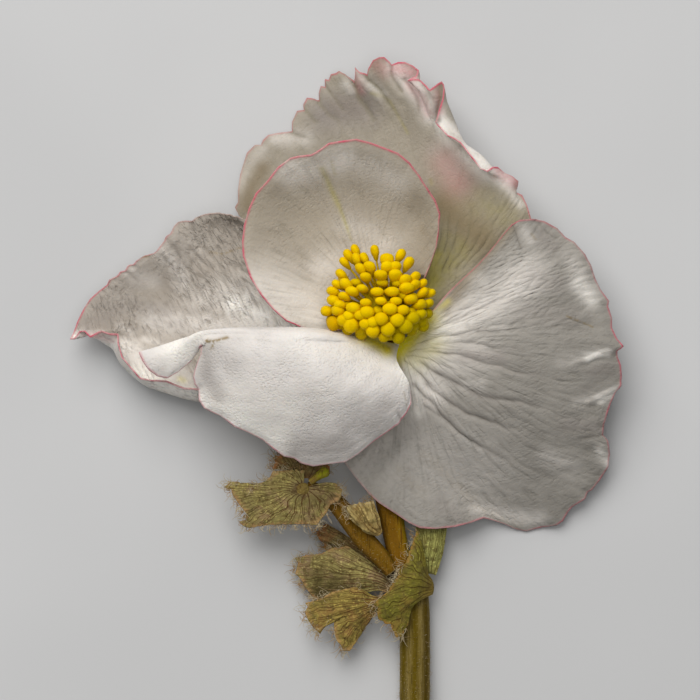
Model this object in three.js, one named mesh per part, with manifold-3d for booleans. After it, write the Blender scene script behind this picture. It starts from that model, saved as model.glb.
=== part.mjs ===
// A single begonia flower on its cut stem, lying face up on a table.
// Millimetres, +Z up, +X to the right and +Y along the stem towards the flower.
// Five petals stand round a knob of stamens, and a node below them carries fringed bracts.

import * as THREE from "three";
import { mergeVertices } from "three/addons/utils/BufferGeometryUtils.js";
import Module from "manifold-3d";

const wasm = await Module();
wasm.setup();

// Driving dimensions
const petalThickness = 0.7;
const bractThickness = 0.6;
const petalRootRadius = 3.0;
const receptacleRadius = 2.45;
const stemRadius = 2.33;
const stemAxisHeight = 2.05; // less than the radius, so the stem rests on a flat strip
const stemCutY = -23.5;
const antherLength = 2.1;
const antherRadius = 0.72;
const filamentRadius = 0.26;
const stamenCount = 74;
const flowerCentre = [6.3, 3.9, 0]; // the receptacle's axis, from the view's centre
const nodeCentre = [7.2, -34.5, 0]; // the stem's node, from the view's centre

// A uniform Catmull-Rom curve through points, with reflected ends; t counts points from 0.
function splinePoint(points, t) {
  const last = points.length - 1;
  const i = Math.min(Math.floor(t), last - 1);
  const w = t - i;
  const a = points[i];
  const b = points[i + 1];
  const before = i > 0 ? points[i - 1] : a.map((value, k) => 2 * value - b[k]);
  const after = i + 2 <= last ? points[i + 2] : b.map((value, k) => 2 * value - a[k]);
  return a.map((value, k) => {
    const slopeA = (b[k] - before[k]) / 2;
    const slopeB = (after[k] - value) / 2;
    return (2 * w ** 3 - 3 * w ** 2 + 1) * value + (w ** 3 - 2 * w ** 2 + w) * slopeA
      + (3 * w ** 2 - 2 * w ** 3) * b[k] + (w ** 3 - w ** 2) * slopeB;
  });
}

// The root end of each rib, on an arc round the piece that carries the blade.
function rootPoint(root, s) {
  const azimuth = THREE.MathUtils.degToRad(root.from + (root.to - root.from) * s);
  const [x, y, z] = root.centre;
  return [x + root.radius * Math.cos(azimuth), y + root.radius * Math.sin(azimuth), z];
}

// A blade's mid-surface: ribs run from the root to the margin, and splines run across them.
// A nick is a cut in the margin: [rib position, depth in mm, half width in ribs].
class BladeSurface {
  constructor({ root, ribs, nicks = [], ruffle = { height: 0, waves: 1, phase: 0 } }) {
    this.last = ribs.length - 1;
    this.ribs = ribs.map((rib, i) => [rootPoint(root, i / this.last), ...rib]);
    this.nicks = nicks;
    this.ruffle = ruffle;
  }

  netPoint(u, v) {
    const across = this.ribs.map((rib) => splinePoint(rib, v * (rib.length - 1)));
    return splinePoint(across, u * this.last);
  }

  cutDepth(u) {
    return this.nicks.reduce((deepest, [position, depth, halfWidth]) => {
      const near = 1 - Math.abs(u * this.last - position) / halfWidth;
      return Math.max(deepest, depth * near);
    }, 0);
  }

  point(u, v) {
    const root = new THREE.Vector3(...this.netPoint(u, 0));
    const tip = new THREE.Vector3(...this.netPoint(u, 1));
    const cut = this.cutDepth(u) / root.distanceTo(tip);
    const point = new THREE.Vector3(...this.netPoint(u, v * (1 - cut * v ** 2)));
    point.z += this.ruffle.height * v ** 5 * Math.sin(Math.PI * this.ruffle.waves * u + this.ruffle.phase);
    return point;
  }

  normal(u, v) {
    const step = 0.004;
    const across = this.point(Math.min(u + step, 1), v).sub(this.point(Math.max(u - step, 0), v));
    const along = this.point(u, Math.min(v + step, 1)).sub(this.point(u, Math.max(v - step, 0)));
    return across.cross(along).normalize();
  }
}

function geometryFrom(positions, triangles) {
  const geometry = new THREE.BufferGeometry();
  geometry.setAttribute("position", new THREE.Float32BufferAttribute(positions, 3));
  geometry.setIndex(triangles);
  if (signedVolume(geometry) < 0) {
    for (let i = 0; i < triangles.length; i += 3) {
      [triangles[i + 1], triangles[i + 2]] = [triangles[i + 2], triangles[i + 1]];
    }
    geometry.setIndex(triangles);
  }
  geometry.computeVertexNormals();
  return geometry;
}

function signedVolume(geometry) {
  const position = geometry.getAttribute("position");
  const index = geometry.getIndex();
  const corner = (i) => new THREE.Vector3().fromBufferAttribute(position, index.getX(i));
  let volume = 0;
  for (let i = 0; i < index.count; i += 3) {
    volume += corner(i).dot(corner(i + 1).cross(corner(i + 2))) / 6;
  }
  return volume;
}

// A closed blade: the mid-surface pushed half the thickness to each side, with walls all round.
// Both faces are split into the same triangles, so that they never cross.
function bladeGeometry(spec, thickness, columns, rows) {
  const surface = new BladeSurface(spec);
  const upper = [];
  const lower = [];
  for (let i = 0; i <= columns; i += 1) {
    for (let j = 0; j <= rows; j += 1) {
      const u = i / columns;
      const v = j / rows;
      const middle = surface.point(u, v);
      const offset = surface.normal(u, v).multiplyScalar(thickness / 2);
      upper.push(...middle.clone().add(offset).toArray());
      lower.push(...middle.clone().sub(offset).toArray());
    }
  }
  const at = (i, j) => i * (rows + 1) + j;
  const below = (columns + 1) * (rows + 1);
  const triangles = [];
  for (let i = 0; i < columns; i += 1) {
    for (let j = 0; j < rows; j += 1) {
      const [a, b, c, d] = [at(i, j), at(i + 1, j), at(i + 1, j + 1), at(i, j + 1)];
      triangles.push(a, b, c, a, c, d);
      triangles.push(a + below, c + below, b + below, a + below, d + below, c + below);
    }
  }
  const wall = (a, b) => triangles.push(a, b + below, b, a, a + below, b + below);
  for (let i = 0; i < columns; i += 1) {
    wall(at(i, 0), at(i + 1, 0));
    wall(at(i + 1, rows), at(i, rows));
  }
  for (let j = 0; j < rows; j += 1) {
    wall(at(0, j + 1), at(0, j));
    wall(at(columns, j), at(columns, j + 1));
  }
  return geometryFrom([...upper, ...lower], triangles);
}

// A stalk along points [x, y, z, radius], with flat ends and lengthwise ridges.
// Nothing of it goes below the table.
function stalkGeometry({ points, sides, steps, ridges = 5, ridgeDepth = 0.04 }) {
  const sections = [];
  for (let i = 0; i <= steps; i += 1) {
    sections.push(splinePoint(points, (i / steps) * (points.length - 1)));
  }
  const centres = sections.map(([x, y, z]) => new THREE.Vector3(x, y, z));
  const positions = [];
  centres.forEach((centre, i) => {
    const along = centres[Math.min(i + 1, steps)].clone().sub(centres[Math.max(i - 1, 0)]).normalize();
    const side = new THREE.Vector3().crossVectors(along, new THREE.Vector3(0, 0, 1)).normalize();
    const up = new THREE.Vector3().crossVectors(side, along);
    for (let k = 0; k < sides; k += 1) {
      const angle = (2 * Math.PI * k) / sides;
      const radius = sections[i][3] * (1 - ridgeDepth * (0.5 - 0.5 * Math.cos(ridges * angle)));
      const point = centre.clone()
        .addScaledVector(side, radius * Math.sin(angle))
        .addScaledVector(up, -radius * Math.cos(angle));
      positions.push(point.x, point.y, Math.max(point.z, 0));
    }
  });
  const firstEnd = positions.length / 3;
  positions.push(...centres[0].toArray(), ...centres[steps].toArray());
  const triangles = [];
  for (let i = 0; i < steps; i += 1) {
    for (let k = 0; k < sides; k += 1) {
      const a = i * sides + k;
      const b = i * sides + ((k + 1) % sides);
      triangles.push(a, b, b + sides, a, b + sides, a + sides);
    }
  }
  for (let k = 0; k < sides; k += 1) {
    const next = (k + 1) % sides;
    triangles.push(firstEnd, next, k, firstEnd + 1, steps * sides + k, steps * sides + next);
  }
  return geometryFrom(positions, triangles);
}

function mesh(name, geometry, { colour, roughness }) {
  const material = new THREE.MeshStandardMaterial({ color: colour, roughness, metalness: 0 });
  const object = new THREE.Mesh(geometry, material);
  object.name = name;
  return object;
}

const petalFinish = { colour: 0xe6e0da, roughness: 0.6 };
const stamenFinish = { colour: 0xf0c808, roughness: 0.45 };
const receptacleFinish = { colour: 0xb9b54a, roughness: 0.6 };
const stemFinish = { colour: 0x8f8550, roughness: 0.55 };
const pedicelFinish = { colour: 0x94702c, roughness: 0.5 };
const bractFinish = { colour: 0x8c8a4a, roughness: 0.7 };
const paperyFinish = { colour: 0xb8ab84, roughness: 0.8 };
const curledFinish = { colour: 0x8a6a38, roughness: 0.75 };

// Petals, from the receptacle's axis. Each rib's points run outwards and end on the margin.
const petals = {
  petal_back: {
    columns: 44,
    rows: 8,
    root: { centre: [0, 0, 8.2], radius: petalRootRadius, from: 155, to: 0 },
    ribs: [
      [[-7.1, 3.9, 6.0], [-13.8, 7.8, 4.2], [-19.1, 12.2, 3.4], [-23.1, 16.5, 3.0]],
      [[-6.6, 6.6, 5.6], [-13.1, 11.9, 3.8], [-18.6, 17.9, 2.6], [-23.0, 22.2, 1.6]],
      [[-5.1, 9.3, 5.2], [-10.1, 16.4, 3.2], [-15.3, 22.8, 1.7], [-19.4, 27.6, 0.7]],
      [[-3.0, 11.4, 5.0], [-6.3, 19.4, 3.0], [-10.1, 26.9, 1.2], [-13.5, 32.7, 0.5]],
      [[-0.6, 12.6, 5.0], [-2.1, 21.6, 3.0], [-4.8, 30.3, 1.6], [-8.1, 37.5, 1.8]],
      [[1.8, 13.2, 5.2], [2.4, 22.4, 3.6], [0.6, 31.4, 3.4], [-2.1, 39.3, 5.0]],
      [[3.9, 13.2, 5.6], [6.9, 21.6, 4.6], [6.6, 29.9, 6.0], [4.2, 37.2, 8.2]],
      [[5.7, 12.6, 6.2], [10.2, 20.1, 6.2], [10.8, 26.9, 8.8], [7.8, 33.0, 10.8]],
      [[7.2, 11.4, 6.8], [12.9, 18.3, 7.6], [14.4, 23.9, 10.2], [11.7, 26.1, 12.4]],
      [[8.6, 9.8, 7.2], [14.9, 16.2, 8.6], [16.8, 20.4, 10.0], [16.7, 22.9, 11.0]],
      [[9.9, 7.4, 7.6], [16.4, 13.2, 9.0], [18.8, 16.6, 9.4], [20.0, 18.7, 9.0]],
      [[10.6, 4.6, 7.8], [17.2, 9.4, 9.0], [20.2, 12.0, 9.1], [22.0, 14.2, 8.8]],
    ],
    nicks: [
      [1.5, 0.4, 0.25], [2.25, 1.1, 0.4], [2.75, 1.0, 0.3], [3.25, 1.1, 0.25], [3.75, 0.7, 0.25],
      [4.25, 1.2, 0.25], [5.25, 0.5, 0.25], [5.75, 1.0, 0.25], [6.5, 1.1, 0.25],
    ],
    ruffle: { height: 0.4, waves: 11, phase: 0 },
  },
  petal_inner: {
    columns: 36,
    rows: 7,
    root: { centre: [0, 0, 10.2], radius: petalRootRadius, from: 190, to: 62 },
    ribs: [
      [[-7.1, -0.9, 11.4], [-11.1, -1.1, 12.8], [-15.0, -0.5, 14.2]],
      [[-8.1, 1.5, 11.0], [-13.4, 3.6, 12.3], [-19.5, 4.8, 14.8]],
      [[-8.6, 4.8, 10.7], [-15.0, 8.7, 12.0], [-22.4, 11.9, 15.2]],
      [[-7.8, 8.4, 10.5], [-13.8, 14.9, 11.9], [-20.6, 19.5, 15.6]],
      [[-6.3, 10.8, 10.4], [-10.8, 18.9, 11.9], [-14.9, 24.9, 16.2]],
      [[-4.4, 11.7, 10.4], [-6.3, 19.8, 12.0], [-7.4, 27.8, 17.0]],
      [[-1.7, 11.4, 10.4], [-0.8, 18.6, 12.0], [0.9, 25.2, 16.8]],
      [[0.8, 9.6, 10.5], [3.5, 15.3, 11.9], [6.0, 19.2, 15.2]],
      [[2.0, 7.2, 10.6], [4.5, 10.5, 11.7], [7.2, 13.8, 13.6]],
      [[2.4, 5.1, 10.8], [3.9, 6.9, 11.4], [5.4, 8.7, 12.4]],
    ],
    nicks: [[4.5, 0.5, 0.4]],
    ruffle: { height: 0.3, waves: 5, phase: 0.6 },
  },
  petal_left: {
    columns: 44,
    rows: 8,
    root: { centre: [0, 0, 9.2], radius: petalRootRadius, from: 150, to: 218 },
    ribs: [
      [[-7.8, 4.8, 8.2], [-13.8, 10.4, 7.0], [-18.6, 13.8, 6.6], [-21.6, 16.1, 6.8]],
      [[-8.4, 4.8, 7.8], [-15.3, 10.4, 5.8], [-22.1, 14.7, 5.2], [-27.2, 16.8, 5.8]],
      [[-9.3, 3.9, 7.4], [-17.6, 8.4, 5.0], [-26.6, 12.2, 3.7], [-33.0, 14.1, 4.6]],
      [[-10.2, 2.7, 7.0], [-19.5, 6.0, 4.2], [-31.1, 8.1, 2.1], [-39.6, 8.6, 3.6]],
      [[-10.8, 1.5, 6.8], [-21.0, 3.6, 3.6], [-34.1, 4.8, 0.8], [-44.1, 5.1, 3.6]],
      [[-11.1, 0.3, 6.7], [-21.9, 1.2, 3.2], [-36.3, 0.6, 0.35], [-47.8, -1.9, 4.8]],
      [[-11.1, -0.9, 6.7], [-22.4, -0.9, 3.1], [-40.2, -2.6, 0.8], [-46.2, -1.5, 6.2]],
      [[-11.0, -2.1, 6.7], [-22.2, -3.0, 3.1], [-39.9, -4.7, 2.6], [-41.0, -1.8, 7.4]],
      [[-10.7, -3.2, 6.8], [-21.6, -5.1, 3.3], [-36.9, -7.9, 3.0], [-38.8, -6.4, 7.6]],
      [[-10.1, -4.1, 7.0], [-20.1, -6.9, 3.8], [-32.8, -10.2, 3.4], [-34.8, -8.4, 7.4]],
      [[-9.2, -5.0, 7.3], [-18.0, -8.4, 4.6], [-28.0, -11.5, 4.2], [-29.3, -9.6, 7.8]],
      [[-7.8, -5.4, 7.7], [-15.0, -9.0, 5.8], [-22.0, -11.8, 5.6], [-23.0, -10.6, 8.2]],
    ],
    nicks: [
      [1.0, 0.3, 0.25], [1.5, 0.8, 0.25], [2.25, 0.6, 0.25], [2.75, 0.5, 0.25], [3.5, 0.5, 0.25],
      [4.25, 0.3, 0.25],
    ],
    ruffle: { height: 0.35, waves: 9, phase: 0.4 },
  },
  petal_right: {
    columns: 48,
    rows: 8,
    root: { centre: [0, 0, 9.2], radius: petalRootRadius, from: 18, to: -92 },
    ribs: [
      [[4.8, 0.8, 10.3], [8.7, 5.0, 10.9], [13.5, 9.6, 11.5], [18.0, 14.9, 12.2]],
      [[5.7, 0.3, 10.8], [11.7, 4.8, 11.8], [18.0, 9.9, 12.4], [23.0, 15.5, 11.6]],
      [[6.5, -0.3, 11.2], [13.5, 3.3, 12.3], [21.5, 7.1, 12.4], [28.4, 11.3, 10.2]],
      [[6.8, -1.2, 11.4], [14.7, 0.9, 12.6], [23.7, 3.0, 12.0], [31.8, 4.7, 9.4]],
      [[6.9, -2.4, 11.5], [15.5, -2.4, 12.6], [25.2, -2.7, 11.4], [34.2, -3.3, 8.4]],
      [[6.8, -3.6, 11.5], [15.5, -5.7, 12.4], [25.2, -8.7, 10.4], [33.9, -10.2, 7.0]],
      [[6.3, -4.7, 11.3], [14.3, -9.2, 11.8], [23.4, -13.7, 9.2], [32.4, -16.8, 5.2]],
      [[5.7, -5.7, 11.0], [12.5, -11.9, 11.0], [21.0, -18.4, 7.6], [31.9, -22.3, 3.1]],
      [[4.8, -6.6, 10.6], [10.2, -14.7, 10.0], [17.0, -22.7, 5.4], [25.2, -29.7, 1.0]],
      [[3.6, -7.2, 10.2], [7.2, -15.9, 9.0], [11.3, -24.2, 4.4], [17.4, -30.6, 1.1]],
      [[2.4, -7.5, 9.9], [3.9, -16.2, 8.4], [5.7, -24.2, 5.6], [7.2, -30.8, 4.8]],
      [[1.2, -7.5, 9.7], [0.9, -15.2, 8.3], [0.5, -21.9, 6.4], [-0.6, -27.8, 5.8]],
      [[0.2, -6.9, 9.6], [-1.8, -12.9, 8.4], [-3.9, -17.4, 6.8], [-6.8, -20.7, 5.6]],
    ],
    nicks: [
      [0.75, 0.4, 0.25], [3.25, 0.4, 0.25], [4.25, 0.9, 0.25], [5.0, 0.4, 0.25], [6.0, 1.0, 0.5],
      [9.5, 0.7, 0.5],
    ],
    ruffle: { height: 0.4, waves: 13, phase: 0.5 },
  },
  petal_front: {
    columns: 48,
    rows: 8,
    root: { centre: [0, 0, 10.2], radius: petalRootRadius, from: 205, to: 292 },
    ribs: [
      [[-5.6, -1.5, 14.2], [-13.8, -0.6, 16.5], [-25.1, -1.2, 13.0], [-37.7, -4.2, 9.6]],
      [[-5.4, -2.0, 15.0], [-13.5, -1.4, 18.0], [-24.6, -2.4, 14.5], [-36.5, -6.5, 9.8]],
      [[-5.1, -2.4, 15.5], [-13.1, -2.4, 19.0], [-23.1, -3.2, 16.0], [-33.3, -8.0, 10.4]],
      [[-4.8, -2.9, 15.8], [-12.3, -3.6, 19.5], [-21.3, -3.5, 17.5], [-28.5, -3.0, 14.5]],
      [[-4.5, -3.3, 16.0], [-11.6, -4.8, 19.8], [-21.0, -6.3, 18.0], [-29.4, -8.1, 13.0]],
      [[-4.1, -3.9, 16.0], [-10.5, -6.3, 20.0], [-19.5, -9.5, 17.5], [-28.2, -12.5, 13.0]],
      [[-3.5, -4.5, 16.0], [-9.3, -7.8, 20.0], [-16.8, -12.2, 17.0], [-22.8, -15.6, 13.0]],
      [[-2.9, -5.0, 16.0], [-7.8, -8.9, 19.8], [-13.1, -14.4, 16.5], [-16.4, -19.4, 12.5]],
      [[-2.1, -5.3, 15.8], [-6.0, -9.6, 19.5], [-9.0, -15.6, 16.3], [-11.1, -21.5, 12.0]],
      [[-1.4, -5.4, 15.5], [-4.1, -9.6, 19.0], [-5.3, -15.0, 16.5], [-6.0, -20.1, 13.0]],
      [[-0.6, -5.4, 15.0], [-2.1, -9.2, 18.3], [-1.2, -13.5, 16.8], [-0.6, -16.5, 14.5]],
      [[0.2, -5.3, 14.3], [0.0, -8.1, 17.0], [1.5, -11.0, 16.5], [2.6, -13.1, 15.3]],
      [[0.6, -5.0, 13.5], [1.2, -6.6, 15.5], [2.3, -8.4, 15.8], [2.9, -10.2, 15.5]],
    ],
    nicks: [[6.5, 0.4, 0.25], [7.5, 0.4, 0.25]],
    ruffle: { height: 0.2, waves: 9, phase: 0 },
  },
};

// Bracts, from the node's centre
const bracts = {
  bract_clasp: {
    columns: 20,
    rows: 4,
    root: { centre: [2.6, -1.4, 3.3], radius: 2.8, from: 22, to: -21 },
    ribs: [
      [[4.5, 1.2, 4.4], [3.9, 4.2, 4.7], [2.9, 7.5, 4.6]],
      [[3.9, 1.1, 5.1], [2.7, 3.3, 5.3], [1.7, 4.2, 5.2]],
      [[3.3, 0.5, 5.6], [1.8, 1.2, 5.8], [0.3, 1.4, 5.5]],
      [[2.9, -0.6, 5.8], [0.9, -0.6, 6.0], [-0.9, -0.9, 5.5]],
      [[2.7, -1.8, 5.8], [0.3, -2.6, 6.1], [-3.5, -3.5, 5.8]],
      [[2.7, -2.7, 5.7], [0.5, -4.1, 5.9], [-3.0, -5.9, 5.6]],
      [[2.9, -3.3, 5.5], [1.2, -5.0, 5.6], [0.0, -8.9, 5.4]],
      [[3.3, -3.3, 5.3], [2.1, -4.5, 5.4], [1.5, -6.9, 5.3]],
    ],
    nicks: [[1.5, 0.5, 0.4], [3.5, 0.5, 0.4], [4.5, 0.5, 0.4], [5.5, 0.6, 0.4]],
  },
  bract_right: {
    columns: 14,
    rows: 4,
    root: { centre: [4.8, -1.2, 2.9], radius: 1.95, from: 118, to: 62 },
    ribs: [
      [[3.3, 1.8, 3.2], [2.7, 4.8, 3.1], [2.9, 9.3, 3.0]],
      [[4.2, 2.0, 3.4], [4.2, 5.3, 3.5], [4.5, 10.2, 3.2]],
      [[5.1, 1.5, 3.3], [5.7, 4.8, 3.5], [6.2, 9.9, 3.2]],
      [[5.9, 0.9, 3.0], [6.9, 4.2, 3.0], [7.5, 8.4, 3.0]],
    ],
    nicks: [[0.5, 0.5, 0.3], [1.5, 0.6, 0.3], [2.5, 0.6, 0.3]],
  },
  bract_middle: {
    columns: 22,
    rows: 4,
    root: { centre: [1.9, -1.1, 3.0], radius: 2.75, from: 160, to: 210 },
    ribs: [
      [[-2.7, 1.4, 3.3], [-5.1, 3.2, 3.1], [-7.7, 5.0, 2.7]],
      [[-3.3, 1.1, 3.6], [-6.9, 2.7, 3.4], [-10.8, 4.1, 2.6]],
      [[-3.6, 0.6, 3.7], [-8.7, 2.0, 3.4], [-15.2, 3.2, 2.2]],
      [[-3.8, 0.0, 3.7], [-9.0, 0.6, 3.3], [-15.6, 0.9, 2.0]],
      [[-3.8, -0.6, 3.4], [-8.7, -0.6, 3.0], [-14.1, -1.1, 2.0]],
      [[-3.6, -1.2, 3.1], [-8.0, -1.8, 2.6], [-12.8, -2.9, 1.9]],
      [[-3.2, -1.8, 2.8], [-6.5, -2.7, 2.2], [-9.0, -3.5, 1.9]],
    ],
    nicks: [[1.5, 0.5, 0.4], [2.5, 0.6, 0.3], [3.5, 0.6, 0.3], [4.5, 0.6, 0.3], [5.5, 0.5, 0.4]],
  },
  bract_curl: {
    columns: 9,
    rows: 4,
    root: { centre: [1.9, 0, 1.6], radius: 2.6, from: 162, to: 198 },
    ribs: [
      [[-3.9, 3.0, 1.6], [-7.2, 6.0, 1.6], [-10.8, 8.3, 2.4]],
      [[-4.2, 2.6, 1.5], [-8.0, 5.1, 1.5], [-12.3, 7.2, 3.0]],
      [[-4.5, 2.0, 1.3], [-8.3, 4.2, 1.2], [-11.7, 5.7, 2.2]],
      [[-4.8, 1.4, 1.1], [-8.3, 3.3, 0.9], [-11.0, 4.4, 1.2]],
    ],
    nicks: [[0.67, 0.5, 0.3], [2.33, 0.5, 0.3]],
  },
  bract_lower: {
    columns: 32,
    rows: 4,
    root: { centre: [2.5, -3.6, 3.6], radius: 2.4, from: 158, to: 202 },
    ribs: [
      [[-3.3, -2.7, 4.0], [-5.6, -1.5, 4.4], [-8.1, -1.5, 4.4]],
      [[-3.6, -3.0, 4.2], [-7.2, -2.6, 4.7], [-11.4, -2.7, 4.6]],
      [[-3.8, -3.5, 4.2], [-8.0, -3.6, 4.8], [-14.0, -4.2, 4.6]],
      [[-3.8, -3.8, 4.2], [-8.0, -4.7, 4.8], [-13.2, -6.5, 4.4]],
      [[-3.8, -4.1, 4.2], [-7.7, -5.4, 4.7], [-11.9, -8.1, 4.2]],
      [[-3.6, -4.4, 4.1], [-7.1, -5.4, 4.6], [-10.1, -5.6, 4.4]],
      [[-3.6, -4.7, 4.0], [-6.3, -6.3, 4.3], [-9.0, -9.0, 3.6]],
      [[-3.3, -4.8, 3.9], [-5.4, -6.6, 4.0], [-7.8, -10.7, 3.2]],
      [[-2.9, -5.0, 3.8], [-4.5, -6.6, 3.8], [-6.5, -9.6, 3.2]],
    ],
    nicks: [[1.5, 0.5, 0.3], [2.5, 0.6, 0.3], [3.5, 0.6, 0.3], [6.5, 0.6, 0.3]],
  },
  bract_papery: {
    columns: 12,
    rows: 4,
    finish: paperyFinish,
    root: { centre: [-3.2, 7.4, 6.7], radius: 0.85, from: -10, to: -100 },
    ribs: [
      [[-2.7, 8.4, 6.9], [-3.2, 10.2, 6.9], [-3.6, 11.9, 6.6]],
      [[-3.6, 8.4, 7.4], [-4.5, 10.4, 7.4], [-5.1, 11.6, 6.9]],
      [[-4.5, 8.1, 7.7], [-5.7, 10.1, 8.0], [-7.2, 11.4, 7.5]],
      [[-5.0, 7.5, 7.8], [-6.3, 8.9, 8.1], [-7.7, 10.4, 7.9]],
      [[-4.4, 6.9, 7.6], [-5.6, 7.8, 8.0], [-6.9, 9.2, 8.3]],
    ],
    nicks: [[1.5, 0.4, 0.4], [3.5, 0.3, 0.4]],
  },
  bract_upper: {
    columns: 40,
    rows: 4,
    root: { centre: [-14.2, 13.7, 7.5], radius: 0.75, from: 15, to: -265 },
    ribs: [
      [[-12.5, 14.3, 7.8], [-10.7, 14.6, 7.7], [-9.0, 14.4, 7.5]],
      [[-12.5, 13.5, 7.8], [-10.5, 13.1, 7.7], [-8.9, 12.5, 7.6]],
      [[-12.9, 12.6, 7.8], [-11.9, 11.3, 7.7], [-10.8, 9.9, 7.3]],
      [[-13.8, 12.0, 7.8], [-13.5, 10.2, 7.6], [-13.1, 8.3, 6.9]],
      [[-14.9, 12.2, 7.8], [-15.6, 10.2, 7.5], [-16.4, 8.3, 6.7]],
      [[-15.8, 12.5, 7.8], [-18.2, 10.4, 7.4], [-20.7, 8.1, 6.5]],
      [[-16.2, 12.8, 7.8], [-19.5, 10.8, 7.3], [-23.7, 8.7, 6.3]],
      [[-16.4, 13.1, 7.8], [-19.5, 11.9, 7.3], [-22.8, 10.7, 6.8]],
      [[-16.5, 13.4, 7.8], [-20.1, 12.8, 7.4], [-24.3, 12.2, 6.7]],
      [[-16.5, 13.8, 7.8], [-20.4, 14.0, 7.4], [-25.4, 14.4, 6.5]],
      [[-16.2, 14.3, 7.8], [-19.2, 14.4, 7.5], [-22.5, 14.4, 7.1]],
      [[-15.8, 14.6, 7.8], [-17.7, 15.2, 7.6], [-19.7, 15.0, 7.4]],
      [[-15.0, 14.9, 7.8], [-16.1, 15.8, 7.7], [-17.3, 16.5, 7.5]],
      [[-14.1, 14.9, 7.8], [-14.1, 15.6, 7.8], [-14.0, 16.5, 7.8]],
    ],
    nicks: [[1.5, 0.5, 0.4], [3.5, 0.5, 0.4], [5.5, 0.5, 0.4], [8.5, 0.5, 0.4], [11.5, 0.4, 0.4]],
  },
  bract_upper_back: {
    columns: 14,
    rows: 4,
    finish: curledFinish,
    root: { centre: [-13.8, 14.1, 6.7], radius: 1.1, from: 140, to: 40 },
    ribs: [
      [[-16.2, 15.8, 6.7], [-17.6, 16.5, 6.6], [-18.9, 16.5, 6.6]],
      [[-15.6, 16.2, 6.7], [-17.0, 17.4, 6.6], [-18.6, 18.6, 6.5]],
      [[-14.6, 16.4, 6.7], [-15.2, 17.6, 6.6], [-16.1, 18.9, 6.4]],
      [[-13.4, 16.2, 6.7], [-13.2, 17.4, 6.6], [-13.1, 18.8, 6.4]],
      [[-12.5, 15.9, 6.7], [-11.6, 16.8, 6.6], [-10.7, 18.0, 6.5]],
      [[-12.2, 15.3, 6.7], [-11.1, 15.6, 6.7], [-10.1, 15.9, 6.7]],
    ],
    nicks: [[0.5, 0.4, 0.3], [2.5, 0.4, 0.3], [3.5, 0.4, 0.3]],
  },
};

// Stalks, from the node's centre, as [x, y, z, radius]
const stalks = {
  stem: {
    finish: stemFinish,
    sides: 16,
    steps: 14,
    points: [
      [2.6, stemCutY, stemAxisHeight, stemRadius],
      [2.6, -16.5, stemAxisHeight, stemRadius],
      [2.6, -9.8, stemAxisHeight, stemRadius],
      [2.5, -4.0, 2.2, stemRadius],
      [2.2, -1.8, 2.4, 2.15],
      [1.5, 0.0, 2.8, 1.7],
    ],
  },
  pedicel_flower: {
    finish: pedicelFinish,
    sides: 12,
    steps: 20,
    points: [
      [1.35, 0.4, 2.85, 1.5],
      [0.6, 2.4, 2.9, 1.65],
      [-0.2, 5.3, 2.7, 1.75],
      [-0.9, 9.0, 2.5, 1.85],
      [-1.6, 12.3, 2.5, 1.85],
      [-2.1, 18.0, 2.8, 1.8],
      [-1.8, 25.5, 3.1, 1.7],
      [-1.2, 32.0, 3.5, 1.65],
      [-1.0, 36.0, 4.0, 1.65],
      [-0.9, 38.1, 5.1, 1.6],
      [-0.9, 38.4, 6.4, 1.55],
    ],
  },
  pedicel_side: {
    finish: pedicelFinish,
    sides: 10,
    steps: 12,
    points: [
      [-0.9, 1.0, 4.9, 0.9],
      [-2.7, 3.4, 5.1, 1.2],
      [-5.1, 6.0, 5.2, 1.35],
      [-7.5, 9.3, 5.4, 1.35],
      [-9.6, 11.7, 5.6, 1.2],
      [-12.0, 13.2, 5.9, 1.0],
      [-13.8, 13.8, 6.1, 0.8],
    ],
  },
  pedicel_stub: {
    finish: receptacleFinish,
    sides: 10,
    steps: 5,
    points: [
      [-13.2, 14.6, 8.9, 0.6],
      [-11.9, 15.6, 8.9, 0.75],
      [-10.4, 16.5, 8.8, 0.85],
    ],
  },
};

// The receptacle: a knob with a rounded top, hidden under the stamens.
function receptacleGeometry() {
  const profile = [
    [0, 6.9], [1.6, 6.9], [2.2, 7.3], [receptacleRadius, 7.9], [receptacleRadius, 10.2], [1.8, 10.6], [0, 10.7],
  ];
  return new THREE.LatheGeometry(profile.map(([r, z]) => new THREE.Vector2(r, z)), 16).rotateX(Math.PI / 2);
}

function solidFrom(geometry) {
  geometry.deleteAttribute("normal");
  geometry.deleteAttribute("uv");
  const merged = mergeVertices(geometry, 1e-4);
  return new wasm.Manifold(new wasm.Mesh({
    numProp: 3,
    vertProperties: new Float32Array(merged.getAttribute("position").array),
    triVerts: new Uint32Array(merged.getIndex().array),
  }));
}

// One stamen stands on its filament's foot and points along +Y: a thin filament and a plump anther.
function stamenGeometry(length) {
  const foot = length - antherLength;
  const profile = [
    [0, 0], [filamentRadius, foot], [antherRadius, foot + 0.35 * antherLength],
    [0.9 * antherRadius, foot + 0.75 * antherLength], [0, length],
  ];
  return new THREE.LatheGeometry(profile.map(([r, y]) => new THREE.Vector2(r, y)), 6);
}

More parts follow.
